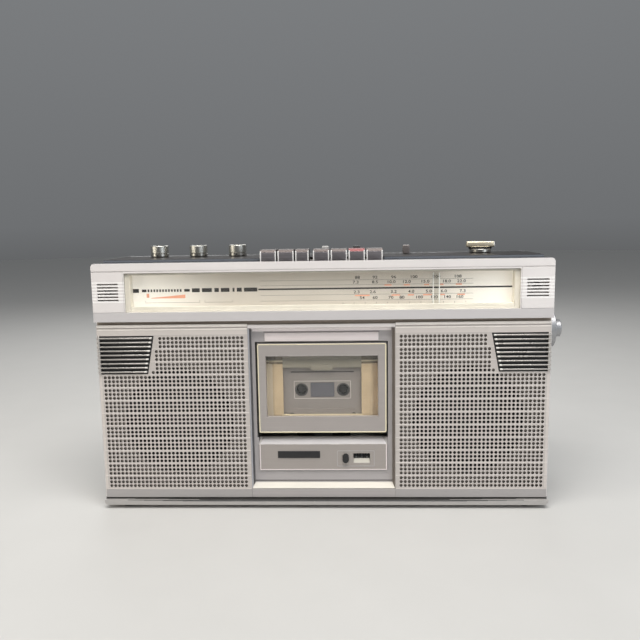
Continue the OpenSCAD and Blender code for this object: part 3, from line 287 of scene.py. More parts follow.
plainLook = {
    "metallic": 0.0, "roughness": 0.45, "gloss": 0.12, "grain": 2500.0, "bump": 0.05, "tone": 0.04, "lines": None,
    "wear": 0.0, "wearColour": (0.8, 0.79, 0.76), "grimeAndShade": 0.0, "grimeAndShadeColour": (0.10, 0.08, 0.055), "specks": 0.0,
    "speckColour": (0.5, 0.48, 0.45), "specular": 0.5, "paints": (),
    "bumpDeep": 0.0004,  # metres
}
casePaints = (  # boxes of the front half that carry another paint, some of it painted light and shade
    {"low": (-225.3, 4.9, 5.3), "high": (225.3, 9.6, 190.6), "colour": (0.38, 0.325, 0.275)},  # behind the panels
    {"low": (-73.2, 3.3, 6.8), "high": (73.2, 5.0, 16.0), "colour": (0.40, 0.375, 0.37)},  # strip under the deck
    {"low": (-73.2, 3.3, 182.4), "high": (73.2, 5.0, 186.2), "colour": (0.80, 0.75, 0.735)},  # strip over the deck, painted lighter as painted light
    {"low": (-226.5, -1.0, 190.4), "high": (226.5, 0.6, 199.9), "colour": (0.58, 0.555, 0.555)},  # under the dial
    {"low": (-226.5, -1.0, -1.0), "high": (226.5, 0.8, 5.4), "colour": (0.42, 0.405, 0.39)},  # lip under the panels, painted darker as shade
    {"low": (-226.5, 0.8, 4.4), "high": (226.5, 5.3, 6.9), "colour": (0.05, 0.05, 0.05)},  # painted shadow on the top of that lip
    {"low": (-223.6, 1.5, 247.9), "high": (223.6, 47.0, 249.0), "colour": (0.020, 0.021, 0.024), "roughness": 0.16,
     "metallic": 0.0},  # top, in the gloss of the panel behind it
)
lipStep = 0.36
casePaints += tuple(  # painted shade on the upper edge of that lip, deeper toward the middle
    {"low": (-length, -1.0, foot - step * lipStep), "high": (length, 0.9, 5.4), "colour": colour}
    for foot, colour in ((4.7, (0.21, 0.206, 0.204)), (5.2, (0.07, 0.07, 0.07)))
    for step, length in enumerate((202.0, 185.0, 166.0, 145.0)))
casePaints += tuple(  # lighter ends of the lip's top, which thin the painted shadow line out
    {"low": (left, 0.8, 4.4), "high": (right, deep, 6.9), "colour": (0.40, 0.385, 0.37)}
    for start, deep in ((128.0, 1.9), (160.0, 2.8), (195.0, 3.7))
    for left, right in ((-226.5, -start), (start, 226.5)))
micBars = {"middle": 220.1, "pitch": 3.16, "half": 0.8}
casePaints += tuple(  # bars between the slots of the microphone panels, painted bright as their highlights
    {"low": (-226.5, -1.0, z - micBars["half"]), "high": (226.5, 0.5, z + micBars["half"]),
     "colour": (0.93, 0.905, 0.885)}
    for z in micBars["middle"] + micBars["pitch"] * np.arange(-3, 4))
panelPaints = (  # field of holes, darker foot, painted shadow line under the top rail, and painted shade on the walls of the holes
    {"low": (-222.5, 3.0, 16.8), "high": (222.5, 3.75, 176.6), "colour": (0.525, 0.483, 0.455)},
    {"low": (-225.6, 3.0, 5.0), "high": (225.6, 3.75, 15.6), "colour": (0.385, 0.366, 0.36)},
    {"low": (-225.6, 3.0, 182.9), "high": (225.6, 3.75, 184.3), "colour": (0.40, 0.365, 0.34)},
    {"low": (-225.6, 3.75, 5.0), "high": (225.6, 6.0, 188.0), "colour": (0.006, 0.005, 0.005)},
)
topPaints = (  # front edge of the glossy panel, painted lighter for the room that it would mirror
    {"low": (-224.0, 25.0, 247.0), "high": (224.0, 26.2, 250.3), "colour": (0.16, 0.175, 0.20)},
)
deckPaints = (
    {"low": (-69.5, 3.3, 178.3), "high": (69.5, 10.3, 183.0), "colour": (0.93, 0.865, 0.86)},  # face over the strip, painted lighter as painted light
    {"low": (-58.0, 9.7, 176.7), "high": (58.0, 10.3, 178.3), "colour": (0.27, 0.245, 0.245)},  # line over the strip
    {"low": (-73.6, 3.3, 15.0), "high": (-72.0, 9.9, 183.0), "colour": (0.50, 0.505, 0.54)},  # left bevel, painted light on its edge
    # painted shade on the inner part of the left bevel
    {"low": (-72.0, 3.3, 15.0), "high": (-70.4, 10.4, 181.0), "colour": (0.095, 0.094, 0.10)},
    {"low": (70.4, 3.3, 15.0), "high": (72.9, 10.4, 181.0), "colour": (0.16, 0.138, 0.12)},  # right bevel, painted shade on its edge
    # painted highlight on the outer edge of the right bevel
    {"low": (72.9, 3.3, 15.0), "high": (73.9, 9.9, 183.0), "colour": (0.60, 0.55, 0.51)},
    # painted shadow line under the deck's face
    {"low": (-70.4, 9.7, 22.0), "high": (70.4, 10.12, 23.1), "colour": (0.10, 0.096, 0.094)},
    {"low": (-67.0, 9.8, 68.6), "high": (66.3, 40.0, 167.5), "colour": (0.005, 0.004, 0.003)},  # painted shade in the gap round the door
    # painted shade in the recess under the door
    {"low": (-67.0, 10.15, 32.0), "high": (67.0, 40.0, 68.7), "colour": (0.02, 0.018, 0.016)},
)
lowerPaints = (  # ends of the slope over the lower panel
    {"low": (-66.0, 8.7, 61.4), "high": (-60.4, 15.0, 69.0), "colour": (0.20, 0.187, 0.18)},
    {"low": (60.4, 8.7, 61.4), "high": (66.0, 15.0, 69.0), "colour": (0.20, 0.187, 0.18)},
)
headPaints = (  # foot of the head plate, painted black as the shade under the door
    {"low": (-70.0, 0.0, 40.0), "high": (70.0, 40.0, 76.2), "colour": (0.006, 0.006, 0.006), "roughness": 0.8,
     "metallic": 0.0},
)
pillarPaints = (  # outer parts of the pillars: painted light on the left one and painted shade on the right one
    {"low": (-57.0, 11.0, 85.0), "high": (-50.2, 18.0, 144.3), "colour": (0.69, 0.60, 0.47)},
    {"low": (51.0, 11.0, 85.0), "high": (57.0, 18.0, 144.3), "colour": (0.58, 0.445, 0.29)},
    {"low": (-57.0, 11.0, 148.2), "high": (57.0, 18.0, 154.0), "colour": (0.13, 0.115, 0.085)},  # shade over them
    {"low": (-57.0, 11.0, 146.5), "high": (57.0, 18.0, 148.2), "colour": (0.62, 0.54, 0.40)},  # bands
    # painted shade under the bands
    {"low": (-57.0, 11.0, 144.3), "high": (57.0, 18.0, 146.5), "colour": (0.15, 0.115, 0.07)},
    {"low": (-41.0, 11.0, 88.0), "high": (41.0, 15.5, 92.0), "colour": (0.74, 0.64, 0.44)},  # sill between them
)
finishLooks = {
    "silver_case": {
        "colour": (0.775, 0.735, 0.72), "metallic": 0.2, "roughness": 0.36, "grain": 3200.0, "bump": 0.03,
        "wear": 0.25, "wearColour": (0.86, 0.85, 0.83), "grimeAndShade": 0.55, "specks": 0.012, "tone": 0.03,
        "paints": casePaints,
    },
    "charcoal_case": {
        "colour": (0.040, 0.042, 0.047), "roughness": 0.5, "grain": 1500.0, "bump": 0.22, "wear": 0.2,
        "wearColour": (0.18, 0.18, 0.18), "grimeAndShade": 0.3, "grimeAndShadeColour": (0.11, 0.10, 0.085), "specks": 0.008,
        "speckColour": (0.16, 0.155, 0.15),
    },
    "top_gloss": {
        "colour": (0.022, 0.019, 0.018), "roughness": 0.3, "gloss": 0.16, "grain": 700.0, "bump": 0.01,
        "specular": 0.05, "paints": topPaints, "grimeAndShade": 0.25, "grimeAndShadeColour": (0.12, 0.11, 0.095), "specks": 0.012,
        "speckColour": (0.14, 0.135, 0.13),
    },
    "grille_paint": {
        "colour": (0.62, 0.57, 0.535), "metallic": 0.2, "roughness": 0.42, "grain": 3000.0, "bump": 0.035,
        "tone": 0.035, "wear": 0.1, "specks": 0.006, "paints": panelPaints,
    },
    "louvre_silver": {
        "colour": (0.52, 0.495, 0.47), "metallic": 0.6, "roughness": 0.28, "grain": 1800.0, "bump": 0.02,
        "grimeAndShade": 0.8, "grimeAndShadeColour": (0.03, 0.025, 0.02),
    },
    "cream_plastic": {
        "colour": (0.53, 0.415, 0.275), "roughness": 0.4, "grain": 1600.0, "bump": 0.03, "grimeAndShade": 0.35,
        "grimeAndShadeColour": (0.20, 0.15, 0.08),
    },
    "deck_grey": {
        "colour": (0.42, 0.395, 0.395), "metallic": 0.2, "roughness": 0.4, "grain": 2800.0, "bump": 0.04,
        "wear": 0.25, "grimeAndShade": 0.45, "paints": deckPaints,
    },
    "door_silver": {
        "colour": (0.385, 0.352, 0.335), "metallic": 0.3, "roughness": 0.36, "bump": 0.03, "wear": 0.2,
        "lines": (5.0, 900.0, 900.0), "specks": 0.012,
    },
    "cassette_grey": {
        "colour": (0.255, 0.232, 0.222), "roughness": 0.33, "grain": 2000.0, "bump": 0.03, "grimeAndShade": 0.3,
    },
    "black_plastic": {
        "colour": (0.014, 0.014, 0.015), "roughness": 0.40, "grain": 2200.0, "bump": 0.10, "specks": 0.006,
        "speckColour": (0.12, 0.118, 0.115),
        "wear": 0.15, "wearColour": (0.09, 0.09, 0.09),
    },
    "bright_chrome": {
        "colour": (0.72, 0.70, 0.67), "metallic": 1.0, "roughness": 0.14, "gloss": 0.1, "grain": 900.0,
        "bump": 0.008, "tone": 0.02, "grimeAndShade": 0.5, "grimeAndShadeColour": (0.07, 0.05, 0.03),
    },
    "plated_steel": {
        "colour": (0.5, 0.5, 0.49), "metallic": 1.0, "roughness": 0.3, "lines": (900.0, 900.0, 8.0), "bump": 0.02,
    },
    "drive_brass": {
        "colour": (0.62, 0.44, 0.19), "metallic": 1.0, "roughness": 0.26, "grain": 1500.0, "bump": 0.02,
    },
    "black_rubber": {"colour": (0.014, 0.014, 0.014), "roughness": 0.75, "grain": 1500.0, "bump": 0.2},
    "speaker_paper": {"colour": (0.012, 0.011, 0.010), "roughness": 0.85, "grain": 1200.0, "bump": 0.35},
    "white_nylon": {"colour": (0.62, 0.60, 0.57), "roughness": 0.4, "grain": 1800.0, "bump": 0.03},
    "board_green": {"colour": (0.02, 0.09, 0.035), "roughness": 0.3, "grain": 500.0, "bump": 0.1},
    "scoreHighlightPaint": {"slot": "grille_paint", "colour": (0.67, 0.625, 0.595), "metallic": 0.1, "roughness": 0.4},
    "railCreamAndHighlight": {
        "slot": "grille_paint", "colour": (0.87, 0.815, 0.765), "metallic": 0.1, "roughness": 0.36, "bump": 0.02,
    },
    "holeDark": {
        "slot": "grille_paint", "colour": (0.012, 0.010, 0.008), "roughness": 0.7, "specular": 0.2, "bump": 0.02,
    },
    "slatTip": {"slot": "louvre_silver", "colour": (0.86, 0.83, 0.79), "metallic": 0.2, "roughness": 0.3, "bump": 0.02},
    "trayCream": {
        "slot": "cream_plastic", "colour": (0.75, 0.70, 0.61), "roughness": 0.38, "bump": 0.02, "grimeAndShade": 0.25,
    },
    "knobChrome": {
        "slot": "bright_chrome", "colour": (0.62, 0.605, 0.555), "metallic": 1.0, "roughness": 0.28,
        "gloss": 0.1, "bump": 0.01, "grimeAndShade": 0.7, "grimeAndShadeColour": (0.05, 0.04, 0.025), "lines": (900.0, 900.0, 8.0),
    },
    "sideSilver": {
        "slot": "bright_chrome", "colour": (0.37, 0.37, 0.38), "metallic": 0.8, "roughness": 0.42,
        "gloss": 0.1, "bump": 0.01, "grimeAndShade": 0.6, "grimeAndShadeColour": (0.03, 0.03, 0.03), "lines": (8.0, 900.0, 900.0),
    },
    "capGrey": {"slot": "white_nylon", "colour": (0.36, 0.35, 0.34), "roughness": 0.4, "bump": 0.03, "grimeAndShade": 0.3},
    "capBrown": {
        "slot": "bright_chrome", "colour": (0.17, 0.15, 0.145), "metallic": 0.5, "roughness": 0.32, "bump": 0.02,
        "lines": (900.0, 900.0, 8.0), "tone": 0.1,
    },
    "lowerGrey": {
        "slot": "deck_grey", "colour": (0.355, 0.322, 0.30), "metallic": 0.25, "roughness": 0.38, "bump": 0.03,
        "lines": (5.0, 900.0, 900.0), "wear": 0.35, "wearColour": (0.75, 0.72, 0.69), "grimeAndShade": 0.3,
        "paints": lowerPaints,
    },
    "headSteel": {
        "slot": "plated_steel", "colour": (0.5, 0.5, 0.49), "metallic": 1.0, "roughness": 0.3, "paints": headPaints,
    },
    "pillarCream": {
        "slot": "cream_plastic", "colour": (0.61, 0.475, 0.31), "roughness": 0.4, "bump": 0.03, "grimeAndShade": 0.3,
        "grimeAndShadeColour": (0.20, 0.15, 0.08), "paints": pillarPaints,
    },
    "paleCream": {"slot": "cream_plastic", "colour": (0.78, 0.71, 0.50), "roughness": 0.35, "bump": 0.02, "grimeAndShade": 0.3},
    "keyCap": {
        "slot": "bright_chrome", "colour": (0.115, 0.097, 0.092), "metallic": 0.8, "roughness": 0.34,
        "lines": (4.0, 700.0, 900.0), "bump": 0.03, "tone": 0.12,
    },
    "keyFace": {
        "slot": "bright_chrome", "colour": (0.25, 0.232, 0.243), "metallic": 0.75, "roughness": 0.34,
        "lines": (4.0, 900.0, 700.0), "bump": 0.04, "tone": 0.22, "specks": 0.01,
    },
    "keyCapRed": {
        "slot": "bright_chrome", "colour": (0.22, 0.075, 0.075), "metallic": 0.5, "roughness": 0.34,
        "lines": (4.0, 700.0, 900.0), "bump": 0.03, "tone": 0.12,
    },
    "keyEdge": {
        "slot": "bright_chrome", "colour": (0.90, 0.88, 0.86), "metallic": 0.2, "roughness": 0.25, "bump": 0.01,
    },
    "selectorGold": {
        "slot": "bright_chrome", "colour": (0.66, 0.59, 0.45), "metallic": 0.7, "roughness": 0.26,
        "lines": (4.0, 700.0, 900.0), "bump": 0.02, "tone": 0.1, "grimeAndShade": 0.5, "grimeAndShadeColour": (0.05, 0.04, 0.025),
    },
    "titleSilver": {
        "slot": "door_silver", "colour": (0.79, 0.715, 0.71), "metallic": 0.1, "roughness": 0.34,
        "lines": (5.0, 900.0, 900.0), "bump": 0.02, "wear": 0.2,
    },
    "slantSilver": {
        "slot": "door_silver", "colour": (0.30, 0.285, 0.287), "metallic": 0.1, "roughness": 0.36,
        "lines": (5.0, 900.0, 900.0), "bump": 0.02, "wear": 0.2,
    },
    "sillWhite": {"slot": "deck_grey", "colour": (0.56, 0.53, 0.47), "metallic": 0.1, "roughness": 0.3, "bump": 0.02},
    "oliveHaze": {"slot": "cream_plastic", "colour": (0.27, 0.25, 0.20), "roughness": 0.3, "bump": 0.03, "tone": 0.1},
    "tapeWindow": {"slot": "cassette_grey", "colour": (0.105, 0.105, 0.125), "roughness": 0.16, "bump": 0.01},
    "tapeLabel": {"slot": "cassette_grey", "colour": (0.60, 0.56, 0.52), "roughness": 0.45, "bump": 0.03},
    "hubGloss": {
        "slot": "black_plastic", "colour": (0.012, 0.012, 0.013), "roughness": 0.1, "specular": 0.15, "bump": 0.005,
    },
    "inkBlack": {"slot": "scale_print", "colour": (0.03, 0.03, 0.028), "roughness": 0.5, "bump": 0.02},
    "inkGrey": {"slot": "scale_print", "colour": (0.22, 0.20, 0.175), "roughness": 0.5, "bump": 0.02},
    "inkRed": {"slot": "scale_print", "colour": (0.84, 0.38, 0.24), "roughness": 0.45, "bump": 0.02, "tone": 0.08},
    "figureGrey": {"slot": "black_plastic", "colour": (0.11, 0.11, 0.11), "roughness": 0.5, "bump": 0.02},
    "lampDark": {"slot": "scale_print", "colour": (0.045, 0.042, 0.04), "roughness": 0.2, "bump": 0.01},
    "lineWhite": {"slot": "pointer_white", "colour": (0.86, 0.855, 0.83), "roughness": 0.3, "bump": 0.02},
}
finishes = {}


def newMaterial(name):
    material = bpy.data.materials.new(name)
    material.use_nodes = True
    return material, material.node_tree, material.node_tree.nodes["Principled BSDF"]


def addBump(tree, bsdf, look, height):
    bump = shade(tree, "Bump", {"Strength": look["bump"], "Distance": look["bumpDeep"], "Height": height})
    tree.links.new(bump.outputs["Normal"], bsdf.inputs["Normal"])


def makeFinish(name, chosen):  # colour times tint, then boxes of other paint, some of them painted light and shade, then dirt with painted shade in hollows, wear and specks over it
    look = {**plainLook, **chosen}
    material, tree, bsdf = newMaterial(name)
    skin = useGroup(tree, effects["skin"], {"Grain": look["grain"], "Tone": look["tone"]})
    colour = blendColour(tree, 1.0, look["colour"], skin["Tint"], "MULTIPLY")
    height = skin["Height"]
    if look["lines"]:
        lines = useGroup(tree, effects["lines"], {"Spread": look["lines"], "Tone": look["tone"] * 2})
        colour = blendColour(tree, 1.0, colour, lines["Tint"], "MULTIPLY")
        height = lines["Height"]
    swing = calc(tree, "SUBTRACT", skin["Gloss"], noiseMiddle)
    rough = calc(tree, "MULTIPLY_ADD", swing, look["gloss"], look["roughness"])
    metal = look["metallic"]
    for paint in look["paints"]:
        corners = {side.capitalize(): tuple(np.array(paint[side]) * mm + home) for side in ("low", "high")}
        mask = useGroup(tree, effects["inside"], corners)["Mask"]
        colour = blendColour(tree, mask, colour, paint["colour"])
        if "roughness" in paint:
            rough = blendValue(tree, mask, rough, paint["roughness"])
            metal = blendValue(tree, mask, metal, paint["metallic"])
    for effect, amount, over in (("grimeAndShade", "Amount", "grimeAndShadeColour"), ("wear", "Amount", "wearColour"),
                                 ("specks", "Density", "speckColour")):
        if look[effect]:
            mask = useGroup(tree, effects[effect], {amount: look[effect]})["Mask"]
            colour = blendColour(tree, mask, colour, look[over])
    tree.links.new(colour, bsdf.inputs["Base Color"])
    tree.links.new(rough, bsdf.inputs["Roughness"])
    feed(tree, bsdf.inputs["Metallic"], metal)
    addBump(tree, bsdf, look, height)
    bsdf.inputs["Specular IOR Level"].default_value = look["specular"]
    finishes[name] = (material, look.get("slot", name))


plainPane = {"haze": 0.05, "smear": 3.0, "grain": 60.0, "refraction": 1.49}
paneLooks = {
    "clear_pane": {"colour": (0.97, 0.975, 0.965), "roughness": 0.03},
    "doorPane": {"slot": "clear_pane", "colour": (0.90, 0.89, 0.87), "roughness": 0.02},
    "pointer_white": {"colour": (0.97, 0.97, 0.95), "roughness": 0.06},
}


def makePane(name, chosen):  # clear plastic with faint smears, noise raised to a power; lamps shine through it
    look = {**plainPane, **chosen}
    material, tree, bsdf = newMaterial(name)
    bsdf.inputs["Base Color"].default_value = (*look["colour"], 1.0)
    bsdf.inputs["Transmission Weight"].default_value = 1.0
    bsdf.inputs["IOR"].default_value = look["refraction"]
    skin = useGroup(tree, effects["skin"], {"Grain": look["grain"], "Tone": 0.0})
    smears = calc(tree, "POWER", skin["Gloss"], look["smear"])
    rough = calc(tree, "MULTIPLY_ADD", smears, look["haze"], look["roughness"])
    tree.links.new(rough, bsdf.inputs["Roughness"])
    clear = shade(tree, "BsdfTransparent", {"Color": (*look["colour"], 1.0)})
    lamp = shade(tree, "LightPath").outputs["Is Shadow Ray"]
    mixed = shade(tree, "MixShader", {0: lamp, 1: bsdf.outputs[0], 2: clear.outputs[0]})
    tree.links.new(mixed.outputs[0], tree.nodes["Material Output"].inputs["Surface"])
    finishes[name] = (material, look.get("slot", name))


scaleLook = {
    "middle": (0.60, 0.545, 0.483), "end": (0.80, 0.76, 0.70), "glow": (1.0, 0.94, 0.86), "strength": 0.22,
    "dimTo": 80.0, "brightFrom": 182.0,  # from the middle: where the painted light toward the ends starts, and is full
    "gloss": 0.2, "roughness": 0.3, "bump": 0.02, "bumpDeep": 0.0003,
}


def makeScaleFinish(look):  # cream print with painted light: its tone and a glow rise smoothly toward both ends
    material, tree, bsdf = newMaterial("scale_print")
    spot = shade(tree, "SeparateXYZ", {0: placeOn(tree)}).outputs
    away = calc(tree, "ABSOLUTE", calc(tree, "SUBTRACT", spot[0], float(home[0])))
    ends = shade(tree, "MapRange", {"Value": away, "From Min": look["dimTo"] * mm, "From Max": look["brightFrom"] * mm},
                 interpolation_type="SMOOTHSTEP").outputs[0]
    skin = useGroup(tree, effects["skin"], {"Grain": 1800.0, "Tone": 0.05})
    paper = blendColour(tree, ends, look["middle"], look["end"])
    tree.links.new(blendColour(tree, 1.0, paper, skin["Tint"], "MULTIPLY"), bsdf.inputs["Base Color"])
    tree.links.new(blendColour(tree, ends, (0.0, 0.0, 0.0), look["glow"]), bsdf.inputs["Emission Color"])
    bsdf.inputs["Emission Strength"].default_value = look["strength"]
    rough = calc(tree, "MULTIPLY_ADD", skin["Gloss"], look["gloss"], look["roughness"])
    tree.links.new(rough, bsdf.inputs["Roughness"])
    addBump(tree, bsdf, look, skin["Height"])
    finishes["scale_print"] = (material, "scale_print")


for finishName, chosenLook in finishLooks.items():
    makeFinish(finishName, chosenLook)
for finishName, chosenLook in paneLooks.items():
    makePane(finishName, chosenLook)
makeScaleFinish(scaleLook)
print("finishes made:", len(finishes))


# Surface helpers: every shape is an array of points and a list of faces

axesOf = {"front": (0, 2, 1), "top": (0, 1, 2), "side": (1, 2, 0)}  # where width, height and depth point


def fullTurn(count):  # even angles round a circle
    return np.arange(count) * 2 * np.pi / count


def arch(reach, rise, steps=6):  # across and up over a half ellipse
    turn = np.linspace(0, np.pi, steps)
    return reach * np.cos(turn), rise * np.sin(turn)


def spread(count, pitch):  # even places, as many below zero as above it
    return (np.arange(count) - (count - 1) / 2) * pitch


def stepsFrom(level, steps):  # (inset, rise) pairs with the rise counted from a level
    return [(inset, level + rise) for inset, rise in steps]


def gridFaces(rows, columns, wrapRows=False, wrapColumns=False):  # each cell joins its four corners
    r, c = np.meshgrid(np.arange(rows - (not wrapRows)), np.arange(columns - (not wrapColumns)), indexing="ij")
    r2, c2 = (r + 1) % rows, (c + 1) % columns
    corners = [r * columns + c, r * columns + c2, r2 * columns + c2, r2 * columns + c]
    return np.stack(corners, -1).reshape(-1, 4).tolist()


def loft(rings):  # a skin over closed outlines laid one after another, with both ends capped
    rings = np.asarray(rings, float)
    count, around = rings.shape[:2]
    faces = gridFaces(count, around, wrapColumns=True)
    faces += [list(range(around)), list(range((count - 1) * around, count * around))]
    return rings.reshape(-1, 3), faces


def lay(flat, facing, centre):  # width, height and depth put along the axes of the side that the piece faces
    placed = np.empty(flat.shape)
    placed[..., list(axesOf[facing])] = flat
    return placed + np.asarray(centre, float)


def roundOutline(width, height, radius, steps=5):  # a quarter circle of points at each corner of a rectangle
    angles = (np.arange(4)[:, None] * np.pi / 2 + np.linspace(0, np.pi / 2, steps)).ravel()
    corner = np.repeat([[1, 1], [-1, 1], [-1, -1], [1, -1]], steps, axis=0)
    middle = corner * [width / 2 - radius, height / 2 - radius]
    return middle + radius * np.stack([np.cos(angles), np.sin(angles)], -1)


def insetRings(width, height, radius, section):  # the outline drawn in by each step's inset, at each step's depth
    rings = []
    for inset, depth in section:
        outline = roundOutline(width - 2 * inset, height - 2 * inset, max(radius - inset, 0.05))
        rings.append(np.column_stack([outline, np.full(len(outline), depth)]))
    return np.array(rings)


def roundedEdge(back, front, radius, steps=4):  # straight from the back, then a quarter circle over to the front
    turn = np.linspace(0, np.pi / 2, steps)
    way = math.copysign(radius, front - back)
    return [(0.0, back), *zip(radius * (1 - np.cos(turn)), front - way * (1 - np.sin(turn)))]


def softBlock(width, height, radius, section, facing, centre):  # a capped stack of inset outlines
    return loft(lay(insetRings(width, height, radius, section), facing, centre))


def ringAround(width, height, radius, section, facing, centre):  # a closed section carried round an outline
    rings = lay(insetRings(width, height, radius, section), facing, centre)
    return rings.reshape(-1, 3), gridFaces(*rings.shape[:2], wrapRows=True, wrapColumns=True)


def turned(section, facing, centre, teeth=0, around=48):  # circles of (radius, depth, tooth), cut by a toothed wave
    angle = fullTurn(around)
    radius, depth, tooth = (column[:, None] for column in np.array(section, float).T)
    reach = radius - tooth * (0.5 - 0.5 * np.cos(teeth * angle))
    rings = np.stack([reach * np.cos(angle), reach * np.sin(angle), depth + 0 * angle], -1)
    return loft(lay(rings, facing, centre))


def rod(radius, start, end, facing, centre, around=48):  # a plain cylinder
    return turned([(radius, start, 0), (radius, end, 0)], facing, centre, around=around)


def hoopAround(section, facing, centre, around=48):  # a closed section of (radius, depth) turned full circle
    angle = fullTurn(around)
    radius, depth = np.array(section, float).T
    rings = np.stack([np.outer(radius, np.cos(angle)), np.outer(radius, np.sin(angle)),
                      np.repeat(depth[:, None], around, 1)], -1)
    placed = lay(rings, facing, centre)
    return placed.reshape(-1, 3), gridFaces(*placed.shape[:2], wrapRows=True, wrapColumns=True)


def barAlong(section, left, right):  # a closed outline of (depth, height) run from left to right
    section = np.asarray(section, float)
    ends = [np.column_stack([np.broadcast_to(x, len(section)), section]) for x in (left, right)]
    return loft(ends)


def plate(left, right, low, high, back, front):  # a thin flat box facing the front
    return barAlong([(back, low), (front, low), (front, high), (back, high)], left, right)


def slab(outline, back, front):  # a flat outline of (width, height) run from back to front
    x, z = np.array(outline, float).T
    return loft([np.column_stack([x, np.full(len(x), y), z]) for y in (back, front)])


def middleOf(box):  # width, height and centre of (left, right, low, high)
    left, right, low, high = box
    return right - left, high - low, ((left + right) / 2, 0, (low + high) / 2)


def facePlate(box, corner, back, front, edge):  # a round-cornered plate facing the front, its edge rounded over
    width, height, centre = middleOf(box)
    return softBlock(width, height, corner, roundedEdge(back, front, edge), "front", centre)


def frameStrip(box, corner, wide, back, front):  # a flat strip carried round a box, facing the front
    width, height, centre = middleOf(box)
    return ringAround(width, height, corner, [(0, back), (0, front), (wide, front), (wide, back)], "front", centre)


def mirrored(surface):  # X turned to its opposite
    points, faces = surface
    return points * [-1, 1, 1], faces


def bothSides(surfaces):  # the surfaces and their mirror images
    return [*surfaces, *map(mirrored, surfaces)]


def softenEdge(holder, width):  # a bevel two faces wide along the sharp edges
    edge = holder.modifiers.new("softEdge", "BEVEL")
    edge.width, edge.segments, edge.limit_method = width * mm, 2, "ANGLE"
    return edge


pieceWeld = 1e-7  # metres


def makePiece(name, surfaces, finish, body, stands=(), bevel=0.0, smooth=35.0):
    points = np.concatenate([surface[0] for surface in surfaces])
    starts = np.cumsum([0] + [len(surface[0]) for surface in surfaces])
    faces = [[start + i for i in face] for start, surface in zip(starts, surfaces) for face in surface[1]]
    mesh = bpy.data.meshes.new(name)
    mesh.from_pydata((points * mm + home).tolist(), [], faces)
    work = bmesh.new()
    work.from_mesh(mesh)
    bmesh.ops.remove_doubles(work, verts=work.verts, dist=pieceWeld)
    bmesh.ops.recalc_face_normals(work, faces=work.faces)
    work.to_mesh(mesh)
    work.free()
    mesh.shade_smooth()
    mesh.set_sharp_from_angle(angle=math.radians(smooth))
    material, slot = finishes[finish]
    mesh.materials.append(material)
    piece = bpy.data.objects.new(name, mesh)
    bpy.context.scene.collection.objects.link(piece)
    if bevel:
        softenEdge(piece, bevel)
    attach(piece, body)
    if stands:
        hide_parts(*stands)
    return piece


inkLook = {"thick": 0.03, "curveSteps": 3, "bolder": 0.06}


def inkText(figure, size, widen, centre):  # the font's outline of a number, filled, facing the front
    curve = bpy.data.curves.new("inkText", "FONT")
    curve.body, curve.size = figure, size
    curve.extrude, curve.resolution_u, curve.offset = inkLook["thick"], inkLook["curveSteps"], inkLook["bolder"]
    curve.align_x, curve.align_y = "CENTER", "CENTER"
    holder = bpy.data.objects.new("inkText", curve)
    bpy.context.scene.collection.objects.link(holder)
    bpy.context.view_layer.update()
    mesh = bpy.data.meshes.new_from_object(holder.evaluated_get(bpy.context.evaluated_depsgraph_get()))
    flat = np.empty(len(mesh.vertices) * 3)
    mesh.vertices.foreach_get("co", flat)
    faces = [list(polygon.vertices) for polygon in mesh.polygons]
    bpy.data.objects.remove(holder)
    bpy.data.meshes.remove(mesh)
    bpy.data.curves.remove(curve)
    flat = flat.reshape(-1, 3) * [widen, 1, -1]
    return lay(flat, "front", centre), faces


# Floor and room

floorSheet = {
    "radius": 6000, "rings": 24, "spokes": 96, "firstRing": 0.02, "colour": (0.50, 0.495, 0.48), "roughness": 0.6,
}


def makeFloor(sheet):  # a disc of rings whose spacing grows outward with the square of the step
    low = cadBox[0][2]
    reach = np.linspace(sheet["firstRing"], 1, sheet["rings"]) ** 2 * sheet["radius"] * mm
    angle = fullTurn(sheet["spokes"])
    points = np.stack([np.outer(reach, np.cos(angle)), np.outer(reach, np.sin(angle)),
                       np.full((len(reach), len(angle)), low)], -1)
    faces = gridFaces(*points.shape[:2], wrapColumns=True) + [list(range(sheet["spokes"]))]
    mesh = bpy.data.meshes.new("floor")
    mesh.from_pydata(points.reshape(-1, 3).tolist(), [], faces)
    material, tree, bsdf = newMaterial("floorPaint")
    skin = useGroup(tree, effects["skin"], {"Grain": 400.0, "Tone": 0.015})
    tree.links.new(blendColour(tree, 1.0, sheet["colour"], skin["Tint"], "MULTIPLY"), bsdf.inputs["Base Color"])
    bsdf.inputs["Roughness"].default_value = sheet["roughness"]
    mesh.materials.append(material)
    floor = bpy.data.objects.new("floor", mesh)
    bpy.context.scene.collection.objects.link(floor)


room = {
    "sky": (0.80, 0.83, 0.86), "horizon": (0.52, 0.54, 0.56), "ground": (0.20, 0.195, 0.19), "strength": 0.30,
    "skyFrom": 0.6, "groundFrom": -0.15,  # height of the look's direction where the horizon's tone has run out
}


def makeRoom(look):  # an even room, darker below the horizon
    world = bpy.data.worlds.new("room")
    world.use_nodes = True
    tree = world.node_tree
    height = shade(tree, "SeparateXYZ", {0: shade(tree, "TexCoord").outputs["Generated"]}).outputs[2]
    upper = shade(tree, "MapRange", {"Value": height, "From Min": 0.0, "From Max": look["skyFrom"]}).outputs[0]
    lower = shade(tree, "MapRange", {"Value": height, "From Min": look["groundFrom"], "From Max": 0.0}).outputs[0]
    air = blendColour(tree, upper, look["horizon"], look["sky"])
    air = blendColour(tree, lower, look["ground"], air)
    back = tree.nodes["Background"]
    tree.links.new(air, back.inputs["Color"])
    back.inputs["Strength"].default_value = look["strength"]
    bpy.context.scene.world = world


makeFloor(floorSheet)
makeRoom(room)
print("floor and room made")

# CAD nodes keep their shape, and get their slot's finish and a soft edge

